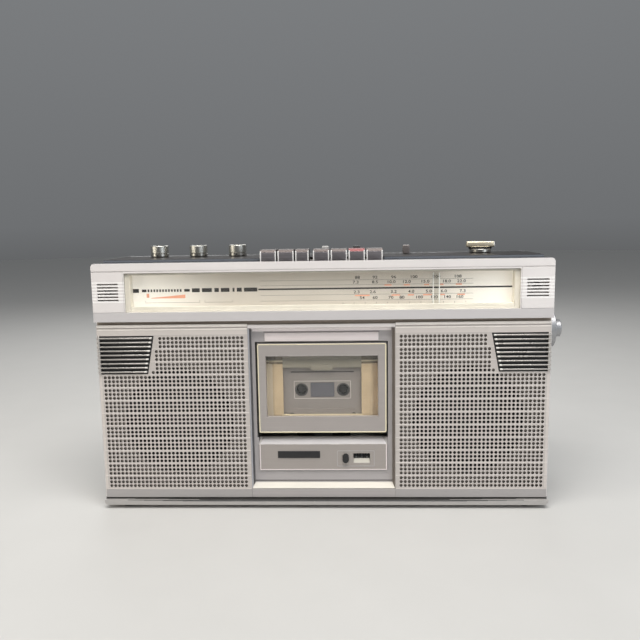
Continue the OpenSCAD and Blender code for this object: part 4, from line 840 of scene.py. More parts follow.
softEdges = {
    "front_cabinet": 0.6, "rear_cover": 0.9, "top_panel": 0.4, "mic_grilles": 0.2, "deck_frame": 0.4,
    "door_frame": 0.5, "lower_panel": 0.3, "dial_tray": 0.3, "cassette": 0.4, "battery_door": 0.4, "handle_arms": 1.2,
    "mains_inlet": 0.3, "feet": 0.6, "counter_button": 0.5,
    **{f"key_{i}": 0.5 for i in range(1, 8)},
}
nodeEdge = {"weld": 1e-6, "flat": 0.5, "sharp": 40.0}  # metres, then degrees
ownFinish = {
    "door_window": "doorPane", "lower_panel": "lowerGrey", **{f"key_{i}": "keyCap" for i in range(1, 8)},
    "key_6": "keyCapRed", "dial_tray": "trayCream", "head_plate": "headSteel",
}


def dressNodes():
    for part in frame["record"]["subparts"]:
        holder = nodes[part["node"]]
        holder.data.materials.clear()
        holder.data.materials.append(finishes[ownFinish.get(part["node"], part["material_slot"])][0])
    for name, width in softEdges.items():
        weld = nodes[name].modifiers.new("weld", "WELD")
        weld.merge_threshold = nodeEdge["weld"]
        flat = nodes[name].modifiers.new("flatFaces", "DECIMATE")  # joins the triangles of each flat face
        flat.decimate_type, flat.angle_limit = "DISSOLVE", math.radians(nodeEdge["flat"])
        edge = softenEdge(nodes[name], width)
        edge.angle_limit = math.radians(nodeEdge["sharp"])
        edge.harden_normals = False


dressNodes()
print("CAD nodes dressed")

# Speaker panels

panelLook = {
    "groups": 12, "groupRows": 3, "groupPitch": 13.23, "rowPitch": 4.07, "holeDrop": 12.9,
    "holePitch": 4.118, "holeColumns": 35, "hole": 2.6, "holeMargin": 4.5,
    "rim": 0.2, "rimIn": 0.04, "rimDeep": 0.5, "rimProud": 0.03, "rimAround": 12,
    "scoreWidth": 0.6, "scoreOut": 0.22, "scoreSink": 0.05, "scoreInset": 0.3, "scoreGap": 0.5,
    # depth from the panel's face and height; the rail then runs up to just under the panel's top
    "railSection": ((0.1, 184.2), (-0.3, 184.5), (-0.3, 186.55), (0.0, 186.95), (1.3, 186.95)), "railGap": 0.02,
    "railLine": 182.0, "railLineTall": 1.6, "railInset": 0.2,
    "louvreDrop": 10.1, "louvreHeight": 39.1, "louvreTop": 57.3, "louvreLow": 49.8, "louvreGap": 0.2,
    "slats": 9, "slatPitch": 4.3, "slatHeight": 1.7, "slatFront": 1.7, "slatBack": 4.7, "slatCorner": 0.8,
    "tilt": -1.1, "slatInset": 1.5, "slatOver": 0.5, "slatTip": 2.4, "tipSwell": 1.06, "tipOver": 0.05,
    "uprightWide": 2.5, "uprightFront": 2.0, "uprightOver": 0.1, "backFront": 4.75, "backDeep": 5.15,
}


def makePanels(look):
    low, high = nodeBox("grille_right")
    face = low[1]
    louvreHigh = high[2] - look["louvreDrop"]
    louvreLow = louvreHigh - look["louvreHeight"]

    def louvreEdge(z):  # inner edge of the louvre, a straight line from its top length to its bottom one
        share = (z - louvreLow) / look["louvreHeight"]
        return high[0] - look["louvreLow"] - (look["louvreTop"] - look["louvreLow"]) * share

    # Score lines between the groups of holes: a half ellipse run across the panel, painted lighter as a painted
    # highlight
    edge = (look["groupPitch"] - 2 * look["rowPitch"]) / 2
    lines = high[2] - look["holeDrop"] + edge - np.arange(1, look["groups"]) * look["groupPitch"]
    sink, inset = look["scoreSink"], look["scoreInset"]
    across, out = arch(look["scoreWidth"] / 2, look["scoreOut"] + sink)
    half = np.column_stack([face + sink - out, across])
    ends = np.where(lines > louvreLow, louvreEdge(lines) - look["scoreGap"], high[0] - inset)
    scores = [barAlong(half + [0, z], low[0] + inset, end) for z, end in zip(lines, ends)]
    makePiece("panelScores", bothSides(scores), "scoreHighlightPaint", "cabinet")

    # Rail along the panel's top edge: a low step with a round line under it; the round line is painted near white as a
    # painted highlight
    section = np.array(look["railSection"])
    top = high[2] - look["railGap"]
    rail = np.vstack([section, [(section[-1, 0], top), (section[0, 0], top)]]) + [face, 0]
    line = half * [1, look["railLineTall"]] + [0, look["railLine"]]
    ends = low[0] + look["railInset"], high[0] - look["railInset"]
    makePiece("panelRails", bothSides([barAlong(rail, *ends), barAlong(line, *ends)]), "railCreamAndHighlight", "cabinet")

    # Dark rims of the holes: a three-sided section turned round each hole's centre, all rows at once
    rows = high[2] - look["holeDrop"] - (np.arange(look["groups"])[:, None] * look["groupPitch"]
                                         + np.arange(look["groupRows"]) * look["rowPitch"]).ravel()
    columns = (low[0] + high[0]) / 2 + spread(look["holeColumns"], look["holePitch"])
    x, z = np.meshgrid(columns, rows)
    rowEnd = np.where(z > louvreLow, louvreEdge(z) - look["holeMargin"], high[0] - look["hole"])
    x, z = x[x < rowEnd], z[x < rowEnd]
    around, radius = look["rimAround"], look["hole"] / 2
    angle = fullTurn(around)
    inner, front = radius - look["rimIn"], face - look["rimProud"]
    reach = np.array([inner, radius + look["rim"], inner])[:, None]
    depth = np.array([face + look["rimDeep"], front, front])[:, None]
    ring = np.stack([reach * np.cos(angle), depth + 0 * angle, reach * np.sin(angle)], -1).reshape(-1, 3)
    centres = np.stack([x, 0 * x, z], -1)
    points = (centres[:, None] + ring).reshape(-1, 3)
    cells = np.array(gridFaces(3, around, wrapRows=True, wrapColumns=True))
    faces = (np.arange(len(centres))[:, None, None] * len(ring) + cells).reshape(-1, 4).tolist()
    makePiece("holeRimsRight", [(points, faces)], "holeDark", "cabinet")
    makePiece("holeRimsLeft", [mirrored((points, faces))], "holeDark", "cabinet")

    # Louvre slats: a round-cornered section, leaning forward at the top, cut off along the slanting inner edge
    section = roundOutline(look["slatBack"] - look["slatFront"], look["slatHeight"], look["slatCorner"], steps=4)
    section[:, 0] += (look["slatBack"] + look["slatFront"]) / 2 + look["tilt"] * section[:, 1] / look["slatHeight"]
    centre = section.mean(0)
    slats, tips = [], []
    for z in (louvreHigh + louvreLow) / 2 + spread(look["slats"], look["slatPitch"]):
        placed, wider = section + [0, z], (section - centre) * look["tipSwell"] + centre + [0, z]
        start = louvreEdge(placed[:, 1]) + look["slatInset"]
        slats.append(barAlong(placed, start, high[0] + look["slatOver"]))
        tips.append(barAlong(wider, start - look["tipOver"], start + look["slatTip"]))
    makePiece("louvreSlats", bothSides(slats), "louvre_silver", "cabinet", stands=["tweeter_louvres"], bevel=0.25)
    # Tips: swollen copies of the slats' inner ends, painted lighter as painted highlights
    makePiece("slatTips", bothSides(tips), "slatTip", "cabinet", bevel=0.2)

    # Uprights at the outer ends of the slats, and the dark board behind them
    end = high[0] + look["uprightOver"]
    bottom, top = louvreLow + look["louvreGap"], louvreHigh - look["louvreGap"]
    upright = plate(end - look["uprightWide"], end, bottom, top, look["backDeep"], look["uprightFront"])
    makePiece("louvreRims", bothSides([upright]), "louvre_silver", "cabinet", bevel=0.5)
    corners = [(louvreEdge(louvreHigh) + look["louvreGap"], top), (high[0], top), (high[0], bottom),
               (louvreEdge(louvreLow) + look["louvreGap"], bottom)]
    board = slab(corners, look["backFront"], look["backDeep"])
    makePiece("louvreBacks", bothSides([board]), "black_plastic", "cabinet")


makePanels(panelLook)
print("speaker panels made")

# Dial print

dialLook = {
    "size": 3.9, "widen": 1.3, "proud": 0.04, "lineHeight": 0.3, "heavy": 1.6,
    "rows": {  # height of each row, then the place and the figure of each number
        "first": (231.0, ((36.5, "88"), (53.8, "92"), (72.1, "96"), (91.8, "100"), (114.2, "104"), (134.8, "108"))),
        "second": (226.3, ((34.8, "7.3"), (53.8, "8.5"), (69.7, "10.0"), (84.7, "12.0"), (102.9, "15.0"),
                           (123.9, "18.0"), (138.5, "22.0"))),
        "third": (216.6, ((35.7, "2.3"), (51.5, "2.6"), (72.1, "3.2"), (89.4, "4.0"), (106.6, "5.0"), (121.4, "6.0"),
                          (139.8, "7.3"))),
        "fourth": (210.8, ((41.0, "54"), (53.8, "60"), (69.4, "70"), (80.3, "80"), (97.2, "100"), (111.8, "120"),
                           (124.7, "140"), (136.8, "160"))),
    },
    "thinLines": ((228.8, -60, 150), (224.0, -60, 150), (214.3, -60, 150), (208.6, -60, 150)),
    "heavyLine": (220.4, -62, 188),
    "redMarks": {223.2: ((63, 70), (82, 88), (102, 107), (117, 121), (133, 139)),
                 213.2: ((34, 48.5), (70, 78.5), (86, 92), (101, 109.5), (118, 122.5), (134.5, 142))},
    "redHeight": 1.3,
    "ticks": {"from": 22, "step": 11.0, "count": 12, "half": 0.2, "low": 205.0, "high": 206.6},
    "lampRow": (220.4, 3.9, 2.6),  # place of the row of lamps, and the height of its tall and short bars
    "lampBars": ((-188.2, -182.2), (-128.6, -120.8), (-118.6, -108.6), (-106.0, -101.5), (-99.6, -90.9),
                 (-87.8, -85.8), (-83.6, -78.6), (-76.4, -63.0)),
    "lampDots": {"from": -172.5, "to": -140.0, "count": 12, "width": 1.75},
    "smallBars": ((-179.2, -174.6), (-136.4, -130.8)),
    "wedge": {"left": -170.0, "right": -135.5, "low": 212.6, "thin": 0.5, "thick": 3.6},
    "redSpot": (-174.6, -172.0, 213.4, 217.4),
    "brackets": ((-176.0, -121.0), (-116.0, -88.0)), "bracketHeight": 208.2, "bracketRise": 2.2, "bracketWide": 0.3,
}


def makeDial(look):
    face = nodeBox("dial_scale")[0][1]
    front = face - look["proud"]

    def mark(left, right, bottom, top):  # a flat print on the scale
        return plate(left, right, bottom, top, face, front)

    def level(left, right, z, height):  # the same, given its middle height
        return mark(left, right, z - height / 2, z + height / 2)

    numbers = [inkText(figure, look["size"], look["widen"], (x, front, z))
               for z, row in look["rows"].values() for x, figure in row]
    makePiece("dialNumbers", numbers, "inkBlack", "cabinet")

    lines = [level(left, right, z, look["lineHeight"]) for z, left, right in look["thinLines"]]
    ticks = look["ticks"]
    lines += [mark(x - ticks["half"], x + ticks["half"], ticks["low"], ticks["high"])
              for x in ticks["from"] + ticks["step"] * np.arange(ticks["count"])]
    z, wide = look["bracketHeight"], look["bracketWide"]
    for left, right in look["brackets"]:
        lines += [level(left, right, z, look["lineHeight"]), mark(left, left + wide, z, z + look["bracketRise"]),
                  mark(right - wide, right, z, z + look["bracketRise"])]
    makePiece("dialLines", lines, "inkGrey", "cabinet")

    z, left, right = look["heavyLine"]
    row, tall, short = look["lampRow"]
    dots = look["lampDots"]
    half = dots["width"] / 2
    lamps = [level(left, right, z, look["heavy"])]
    lamps += [level(a, b, row, tall) for a, b in look["lampBars"]]
    lamps += [level(a, b, row, short) for a, b in look["smallBars"]]
    lamps += [level(x - half, x + half, row, short) for x in np.linspace(dots["from"], dots["to"], dots["count"])]
    makePiece("dialLamps", lamps, "lampDark", "cabinet")

    reds = [level(a, b, z, look["redHeight"]) for z, row in look["redMarks"].items() for a, b in row]
    wedge = look["wedge"]
    left, right, low = wedge["left"], wedge["right"], wedge["low"]
    outline = [(left, low), (right, low), (right, low + wedge["thick"]), (left, low + wedge["thin"])]
    reds += [slab(outline, face, front), mark(*look["redSpot"])]
    makePiece("dialReds", reds, "inkRed", "cabinet")


makeDial(dialLook)

trayLipLook = {"front": 2.7, "back": 3.6, "foot": 201.9, "floor": 202.0, "rise": 3.4, "inset": 0.2}


def makeTrayLip(look):  # a low upstand along the foot of the tray, rounded over its top
    low, high = nodeBox("dial_scale")
    half, middle = (look["back"] - look["front"]) / 2, (look["back"] + look["front"]) / 2
    top = look["floor"] + look["rise"] - half
    across, up = arch(half, half, steps=7)
    over = np.column_stack([middle - across, top + up])
    section = [(look["front"], look["foot"]), *over, (look["back"], look["foot"])]
    lip = barAlong(section, low[0] + look["inset"], high[0] - look["inset"])
    makePiece("trayLip", [lip], "trayCream", "cabinet")


makeTrayLip(trayLipLook)

pointerLook = {"half": 3.5, "lineHalf": 0.4, "inset": 0.5, "deep": 0.35, "footDrop": 1.5, "topDrop": 1.2}


def makePointerLines(look):  # two uprights and a foot, as flat bars on the pointer's face
    low, high = nodeBox("dial_pointer")
    scaleLow, scaleHigh = nodeBox("dial_scale")
    middle, half, line = (low[0] + high[0]) / 2, look["half"], look["lineHalf"]
    bottom, top = scaleLow[2] - look["footDrop"], scaleHigh[2] - look["topDrop"]
    faces = low[1], low[1] - look["deep"]
    lines = [plate(x - line, x + line, bottom, top, *faces)
             for x in (middle - half + look["inset"], middle + half - look["inset"])]
    lines.append(plate(middle - half, middle + half, bottom - line, bottom + line, *faces))
    makePiece("pointerLines", lines, "lineWhite", "dial_pointer", bevel=0.1)


makePointerLines(pointerLook)
print("dial made")

# Cassette deck. A box is (left, right, low, high)

deckLook = {
    "faceBehind": 2.5,  # the deck's face lies this far behind the door's
    "topStrip": {"box": (-57.0, 57.0, 168.2, 176.5), "thick": 0.5, "corner": 0.8, "edge": 0.4},
    "darkPlate": {"box": (-46.4, -3.2, 46.9, 54.3), "thick": 0.6, "corner": 0.5, "edge": 0.35},
    "counterFrame": {"box": (14.2, 52.4, 38.0, 54.6), "corner": 1.2, "wide": 0.6, "thick": 0.25},
    "ledge": {"low": 41.6, "high": 45.9, "back": 10.7, "half": 8.4, "sink": 0.2},
    "lowerEdge": {"half": 64.9, "low": 34.2, "high": 60.9, "wide": 0.9, "thick": 0.2, "sink": 0.2},
}


def makeDeck(look):
    face = nodeBox("door_frame")[0][1] + look["faceBehind"]
    panelFace = nodeBox("lower_panel")[0][1]
    bare = look["topStrip"]
    strip = facePlate(bare["box"], bare["corner"], face, face - bare["thick"], bare["edge"])
    makePiece("titleStrip", [strip], "titleSilver", "cabinet")
    bare = look["darkPlate"]
    dark = facePlate(bare["box"], bare["corner"], panelFace, panelFace - bare["thick"], bare["edge"])
    makePiece("badgePlate", [dark], "black_plastic", "cabinet")

    border = look["counterFrame"]
    ring = frameStrip(border["box"], border["corner"], border["wide"], panelFace, panelFace - border["thick"])
    makePiece("counterFrame", [ring], "deck_grey", "cabinet")

    # Ledge under the counter wheels: a slope from the panel's face back to just in front of the wheels
    wheelLow, wheelHigh = nodeBox("counter_tens")
    middle = (wheelLow[0] + wheelHigh[0]) / 2
    ledge = look["ledge"]
    slope = [(panelFace + ledge["sink"], ledge["low"]), (ledge["back"], ledge["high"]), (ledge["back"], ledge["low"])]
    wedge = barAlong(slope, middle - ledge["half"], middle + ledge["half"])
    makePiece("counterLedge", [wedge], "sillWhite", "cabinet")

    # Bevel along the lower panel's sides and foot, painted bright as a painted highlight
    edge = look["lowerEdge"]
    half, low, inner = edge["half"], edge["low"], edge["low"] + edge["wide"]
    faces = panelFace + edge["sink"], panelFace - edge["thick"]
    bevels = [plate(-half, half, low, inner, *faces)]
    bevels += bothSides([plate(half - edge["wide"], half, inner, edge["high"], *faces)])
    makePiece("lowerBevel", bevels, "titleSilver", "cabinet", bevel=0.08)


makeDeck(deckLook)

slantLook = {
    "low": (8.5, 61.2), "high": (14.0, 67.7), "halfLow": 64.6, "halfHigh": 60.2, "thick": 0.3,
    "cover": (0.04, 0.97),  # the share of the slope where the plate starts and ends
}


def makeSlant(look):  # a plate on the slope over the lower panel, narrower at its top
    foot = np.array(look["low"])
    slope = np.array(look["high"]) - foot
    out = np.array([-slope[1], slope[0]]) / np.hypot(*slope) * look["thick"]
    start, end = (foot + slope * share for share in look["cover"])
    flat = np.array([(-look["halfLow"], *start), (look["halfLow"], *start), (look["halfHigh"], *end),
                     (-look["halfHigh"], *end)])
    makePiece("slantPlate", [loft([flat, flat + [0, *out]])], "slantSilver", "cabinet")


makeSlant(slantLook)

sillLook = {"half": 72.6, "sink": 0.2, "back": 10.0, "low": 16.15, "high": 20.3, "thick": 0.35}


def makeSill(look):  # a skin on the slope at the foot of the deck's recess, painted bright as painted light on the slope
    front, back = nodeBox("deck_frame")[0][1] + look["sink"], look["back"]
    low, high, thick = look["low"], look["high"], look["thick"]
    section = [(front, low), (back, high), (back, high + thick), (front, low + thick)]
    makePiece("deckSill", [barAlong(section, -look["half"], look["half"])], "sillWhite", "cabinet")


doorLook = {  # a section is (inset, depth from the door's face)
    "size": (129.0, 91.7), "radius": 1.5,
    "rimSection": ((-0.12, 2.9), (-0.12, 0.25), (0.28, -0.15), (0.9, -0.15), (1.2, 0.1), (1.2, 0.6), (0.2, 2.9)),
    "window": (113.0, 63.0), "windowMiddle": 122.0, "windowRadius": 1.0,
    "windowSection": ((0.0, 0.05), (0.15, -0.1), (0.5, 2.0), (0.5, 2.95), (0.0, 2.95)),
}


def makeDoorRims(look):  # closed sections carried round the door's edge and round its window
    low = nodeBox("door_frame")[0]
    height = look["size"][1]
    rim = ringAround(*look["size"], look["radius"], stepsFrom(low[1], look["rimSection"]), "front",
                     (0, 0, low[2] + height / 2))
    edge = ringAround(*look["window"], look["windowRadius"], stepsFrom(low[1], look["windowSection"]), "front",
                      (0, 0, look["windowMiddle"]))
    makePiece("doorRim", [rim], "paleCream", "cassette_door")
    makePiece("windowRim", [edge], "door_silver", "cassette_door")


makeSill(sillLook)
makeDoorRims(doorLook)
print("deck front made")

holderLook = {
    "inner": 39.8, "outer": 56.4, "bottom": 88.6, "top": 153.4, "front": 12.15, "back": 15.6,
    "fall": 3.0, "fallFrom": 0.45, "columns": 13, "ribPitch": 1.55, "ribDeep": 0.24, "ribSteps": 4,
    "bandLow": 146.5, "bandHigh": 148.2, "bandOut": 0.05, "bandFall": 0.4,
    # low, high, and the two depths of each plain block
    "wall": (79.1, 148.9, 12.1, 26.9), "wallIn": 0.2, "wallOut": 1.4,
    "foot": (79.1, 82.0, 16.2, 26.9), "footStart": 42.8,
    "sill": (88.6, 91.6, 15.4, 12.2), "sillLap": 0.5,
    "hood": (148.5, 153.4, 15.0, 13.6), "barLap": 0.3,
    "barSection": ((12.3, 140.4), (12.15, 140.8), (13.4, 148.4), (14.0, 148.4), (14.0, 140.4)),  # depth, height
    "tab": {"box": (-11.0, 11.0, 137.6, 142.6), "corner": 0.8, "back": 14.0, "front": 12.1, "edge": 0.5},
}


def makeHolder(look):
    # Pillar: its face falls back by a smooth step toward the outer edge, and a cosine wave up its height makes fine
    # ribs, apart from a plain band near the top
    inner, outer = look["inner"], look["outer"]
    across = np.linspace(0, 1, look["columns"])
    up = np.arange(look["bottom"], look["top"], look["ribPitch"] / look["ribSteps"])
    u, z = np.meshgrid(across, up, indexing="ij")
    x = inner + (outer - inner) * u
    fall = np.clip((u - look["fallFrom"]) / (1 - look["fallFrom"]), 0, 1)
    y = look["front"] + look["fall"] * fall * fall * (3 - 2 * fall)
    y = y + look["ribDeep"] * (0.5 - 0.5 * np.cos(2 * np.pi * z / look["ribPitch"]))
    band = (z > look["bandLow"]) & (z < look["bandHigh"])
    y = np.where(band, look["front"] - look["bandOut"] + look["bandFall"] * fall, y)
    skin = np.stack([x, y, z], -1)
    rear = skin.copy()
    rear[..., 1] = look["back"]
    outline = np.concatenate([skin, rear[::-1]], axis=0)  # a closed loop across the front and back at each height
    pillar = loft(outline.transpose(1, 0, 2))
    wall = plate(outer - look["wallIn"], outer + look["wallOut"], *look["wall"])
    foot = plate(look["footStart"], outer, *look["foot"])
    reach = inner + look["sillLap"]
    sill = plate(-reach, reach, *look["sill"])
    makePiece("holderPillars", [*bothSides([pillar, wall, foot]), sill], "pillarCream", "cassette_door",
              stands=["cassette_holder"])

    reach = inner + look["barLap"]
    tab = look["tab"]
    pieces = [barAlong(look["barSection"], -reach, reach),
              facePlate(tab["box"], tab["corner"], tab["back"], tab["front"], tab["edge"]),
              plate(-reach, reach, *look["hood"])]
    makePiece("holderBar", pieces, "oliveHaze", "cassette_door", bevel=0.15)


makeHolder(holderLook)

tapeLook = {
    "face": 16.0, "hubHeight": 116.8, "hubApart": 42.5,
    # depths are counted from the cassette's face
    "label": (-29.0, 29.0, 107.5, 126.0), "labelLine": 0.5, "labelCorner": 1.0, "labelDepths": (0.1, -0.12),
    "window": (-12.05, 12.05, 109.2, 124.0), "windowCorner": 0.5, "windowDepths": (1.1, 0.25), "windowEdge": 0.2,
    "slot": (-32.0, 32.0, 134.7, 135.9), "slotDepths": (0.1, -0.06),
    "hubSection": ((6.2, 0.2), (6.7, 0.02), (6.7, -0.06), (6.5, -0.12), (5.5, -0.07), (5.1, 0.8), (5.1, 7.5),
                   (5.7, 7.5)),
    "locators": (31.5, 90.6, 2.6), "locatorDepths": (0.3, -0.05),  # half their distance, height, radius
    "domeOut": 4.95, "domeFront": 0.4, "domeFall": 3.0, "domeBack": 8.0, "domeStart": 0.06, "domeSteps": 7,
}


def makeTape(look):
    face, hubHeight = look["face"], look["hubHeight"]

    def deep(key):  # depths counted from the face
        return [face + depth for depth in look[key]]

    border = frameStrip(look["label"], look["labelCorner"], look["labelLine"], *deep("labelDepths"))
    makePiece("tapeLabel", [border], "tapeLabel", "cassette_door")
    pane = facePlate(look["window"], look["windowCorner"], *deep("windowDepths"), look["windowEdge"])
    makePiece("tapeWindow", [pane], "tapeWindow", "cassette_door")
    slot = plate(*look["slot"], *deep("slotDepths"))
    section = stepsFrom(face, look["hubSection"])
    hubs = [hoopAround(section, "front", (x, 0, hubHeight)) for x in spread(2, look["hubApart"])]
    makePiece("tapeHubs", [slot, *hubs], "black_plastic", "cassette_door")
    # Black discs in the locator holes: painted shade inside the holes
    x, z, radius = look["locators"]
    discs = [rod(radius, *deep("locatorDepths"), "front", (side * x, 0, z), around=24) for side in (-1, 1)]
    makePiece("tapeLocators", discs, "black_plastic", "cassette_door")

    # Domes over the spindles: a quarter circle, stretched in depth, turned full circle
    turn = np.linspace(look["domeStart"], np.pi / 2, look["domeSteps"])
    out, front = look["domeOut"], face + look["domeFront"]
    dome = np.column_stack([out * np.sin(turn), front + look["domeFall"] * (1 - np.cos(turn)), 0 * turn])
    dome = np.vstack([dome, (out, face + look["domeBack"], 0)])
    for name in ("supply_spindle", "takeup_spindle"):
        low, high = nodeBox(name)
        centre = ((low[0] + high[0]) / 2, 0, hubHeight)
        makePiece(name + "Dome", [turned(dome, "front", centre)], "hubGloss", name)


makeTape(tapeLook)

counterLook = {"size": 3.6, "widen": 1.1, "proud": 0.05}


def makeCounterDigits(look):  # each wheel carries ten figures, a tenth of a turn apart round its axis
    for name in ("counter_hundreds", "counter_tens", "counter_units"):
        low, high = nodeBox(name)
        middle = (low + high) / 2
        radius = (high[2] - low[2]) / 2
        figures = []
        for digit, angle in enumerate(fullTurn(10)):
            points, faces = inkText(str(digit), look["size"], look["widen"], (0, -radius - look["proud"], 0))
            cos, sin = math.cos(angle), math.sin(angle)
            turn = np.array([[1, 0, 0], [0, cos, -sin], [0, sin, cos]])
            figures.append((points @ turn.T + middle, faces))
        makePiece(name + "Figures", figures, "figureGrey", name)


makeCounterDigits(counterLook)
print("cassette and counter made")

# Keys

keyLook = {
    "side": 1.25, "low": 247.4, "drop": 2.6, "thick": 0.35, "corner": 0.4, "edge": 0.2,
    "strip": 1.2, "stripDrop": 1.3, "stripOut": 0.2, "stripSink": 0.3,
}


def makeKeyFaces(look):  # a plate with rounded edges on each key's front, between two bright strips
    for i in range(1, 8):
        low, high = nodeBox(f"key_{i}")
        bottom, front = look["low"], low[1]
        box = (low[0] + look["side"], high[0] - look["side"], bottom, high[2] - look["drop"])
        face = facePlate(box, look["corner"], front, front - look["thick"], look["edge"])
        makePiece(f"keyFace{i}", [face], "keyFace", f"key_{i}")
        strips = [plate(left, left + look["strip"], bottom, high[2] - look["stripDrop"], front + look["stripSink"],
                        front - look["stripOut"]) for left in (low[0], high[0] - look["strip"])]
        makePiece(f"keyEdges{i}", strips, "keyEdge", f"key_{i}", bevel=0.15)


makeKeyFaces(keyLook)

# Knobs and switches on top

knobSteps = (  # inset from the radius, the level it is counted from, height over that level, share of the tooth
    (0.5, "base", 0.0, 0), (0.0, "base", 0.5, 0), (0.0, "base", 0.8, 0), (0.0, "ring", -0.8, 0), (0.0, "ring", -0.5, 0),
    (0.7, "ring", 0.0, 0), (0.7, "ring", 0.3, 0), (0.1, "ring", 0.6, 1), (0.1, "ring", 0.9, 1), (0.1, "top", -0.9, 1),
    (0.1, "top", -0.6, 1), (0.3, "top", -0.3, 0.5), (0.8, "top", 0.0, 0), (2.2, "top", 0.0, 0), (3.4, "dish", 0.0, 0),
)
knobHeart = {"share": 0.3, "rise": 0.7}  # the dish's middle, as shares of the knob's radius and the dish's depth


def knurledKnob(radius, base, top, look, facing, centre):  # a smooth ring, then a toothed barrel, then a dished top
    way = math.copysign(1.0, top - base)
    levels = {"base": base, "ring": base + look["ringHeight"] * way, "top": top, "dish": top - look["dish"] * way}
    section = [(radius - inset, levels[level] + rise * way, look["tooth"] * share)
               for inset, level, rise, share in knobSteps]
    section.append((radius * knobHeart["share"], top - look["dish"] * knobHeart["rise"] * way, 0))
    return turned(section, facing, centre, teeth=look["teeth"], around=look["teeth"] * 4)


knobLook = {
    "teeth": 48, "tooth": 0.12, "ringHeight": 3.4, "dish": 0.8, "slim": 0.45, "lower": 0.7, "height": 12.5,
    "shaft": 3.0, "shaftLap": 1.0, "markHalf": 0.5, "mark": (0.6, 2.6), "markDepths": (0.2, -0.05),
}


def makeKnobs(look):  # a knurled barrel on a plain shaft, with a dark mark at its front
    for name in ("volume_knob", "tone_knob", "balance_knob"):
        low, high = nodeBox(name)
        x, y, _ = (low + high) / 2
        radius = (high[0] - low[0]) / 2 - look["slim"]
        base, top = high[2] - look["height"], high[2] - look["lower"]
        barrel = knurledKnob(radius, base, top, look, "top", (x, y, 0))
        shaft = rod(look["shaft"], low[2], base + look["shaftLap"], "top", (x, y, 0))
        makePiece(name + "Turned", [barrel, shaft], "knobChrome", name, stands=[name], smooth=30)
        mark = plate(x - look["markHalf"], x + look["markHalf"], *(base + rise for rise in look["mark"]),
                     *(y - radius + depth for depth in look["markDepths"]))
        makePiece(name + "Mark", [mark], "black_plastic", name)


makeKnobs(knobLook)

sideKnobLooks = {
    "tuning_knob": {"teeth": 64, "tooth": 0.09, "ringHeight": 1.6, "dish": 0.6, "thick": 8.9, "shaft": 3.0},
    "fine_tuning_knob": {"teeth": 36, "tooth": 0.08, "ringHeight": 1.4, "dish": 0.5, "thick": 7.5, "shaft": 1.5},
}


def makeSideKnobs(looks):  # the same barrel and shaft, lying on their side
    for name, look in looks.items():
        low, high = nodeBox(name)
        middle = (low + high) / 2
        base, centre = high[0] - look["thick"], (0, middle[1], middle[2])
        barrel = knurledKnob((high[2] - low[2]) / 2, base, high[0], look, "side", centre)
        shaft = rod(look["shaft"], low[0], base + knobLook["shaftLap"], "side", centre)
        makePiece(name + "Turned", [barrel, shaft], "sideSilver", name, stands=[name], smooth=30)


makeSideKnobs(sideKnobLooks)

switchLook = {
    "cap": (7.6, 6.0), "height": 9.2, "corner": 0.9, "edge": 0.8,
    "ridges": 5, "ridge": 0.5, "ridgePitch": 1.2, "ridgeHalf": 0.4, "ridgeReach": 2.3, "ridgeSink": 0.05,
    "stem": (4, 3), "stemLap": 1.0, "foot": (8, 6), "footHeight": 3.0, "footCorner": 0.3,
}
switchFinish = {"function_switch": "capGrey", "mode_switch": "black_plastic", "monitor_switch": "capBrown"}


def makeSwitches(look):  # a cap with ridges across its top, each a half ellipse
    reach, rise = arch(look["ridgeReach"], look["ridge"])
    for name, finish in switchFinish.items():
        low, high = nodeBox(name)
        x, y, _ = (low + high) / 2
        base, top = high[2] - look["height"], high[2] - look["ridge"]
        cap = softBlock(*look["cap"], look["corner"], roundedEdge(base, top, look["edge"]), "top", (x, y, 0))
        ridge = np.column_stack([y + reach, top - look["ridgeSink"] + rise])
        ridges = [barAlong(ridge, x + shift - look["ridgeHalf"], x + shift + look["ridgeHalf"])
                  for shift in spread(look["ridges"], look["ridgePitch"])]
        stem, foot = (softBlock(*look[key], look["footCorner"], [(0, low[2]), (0, end)], "top", (x, y, 0))
                      for key, end in (("stem", base + look["stemLap"]), ("foot", low[2] + look["footHeight"])))
        makePiece(name + "Cap", [cap, *ridges, stem, foot], finish, name, stands=[name])


makeSwitches(switchLook)

selectorLook = {
    "base": 23.0, "baseHeight": 3.6, "footCut": 0.4, "rimCut": 0.6, "height": 12.8, "shaft": 3.0, "shaftLap": 1.0,
    "bar": (30.0, 8.0), "head": 6.0, "lower": 1.2, "corner": 1.2,
    "neck": (25.0, 5.0), "neckCorner": 1.0, "neckFlare": 0.6, "neckLaps": (0.1, 0.3),
    "tip": 2.8, "tipWide": 7.2, "tipCorner": 0.6, "tipOut": 0.15,
    # (inset, rise) over the bar's underside, then from its top
    "barFoot": ((0.9, 0.0), (0.2, 0.5), (0.0, 1.0)), "barTop": ((0.5, -0.9), (0.9, -0.3), (1.5, 0.0)),
    "tipFoot": ((0.3, 0.5), (0.0, 0.9)), "tipTop": ((0.3, -0.9), (0.6, -0.5)),
}


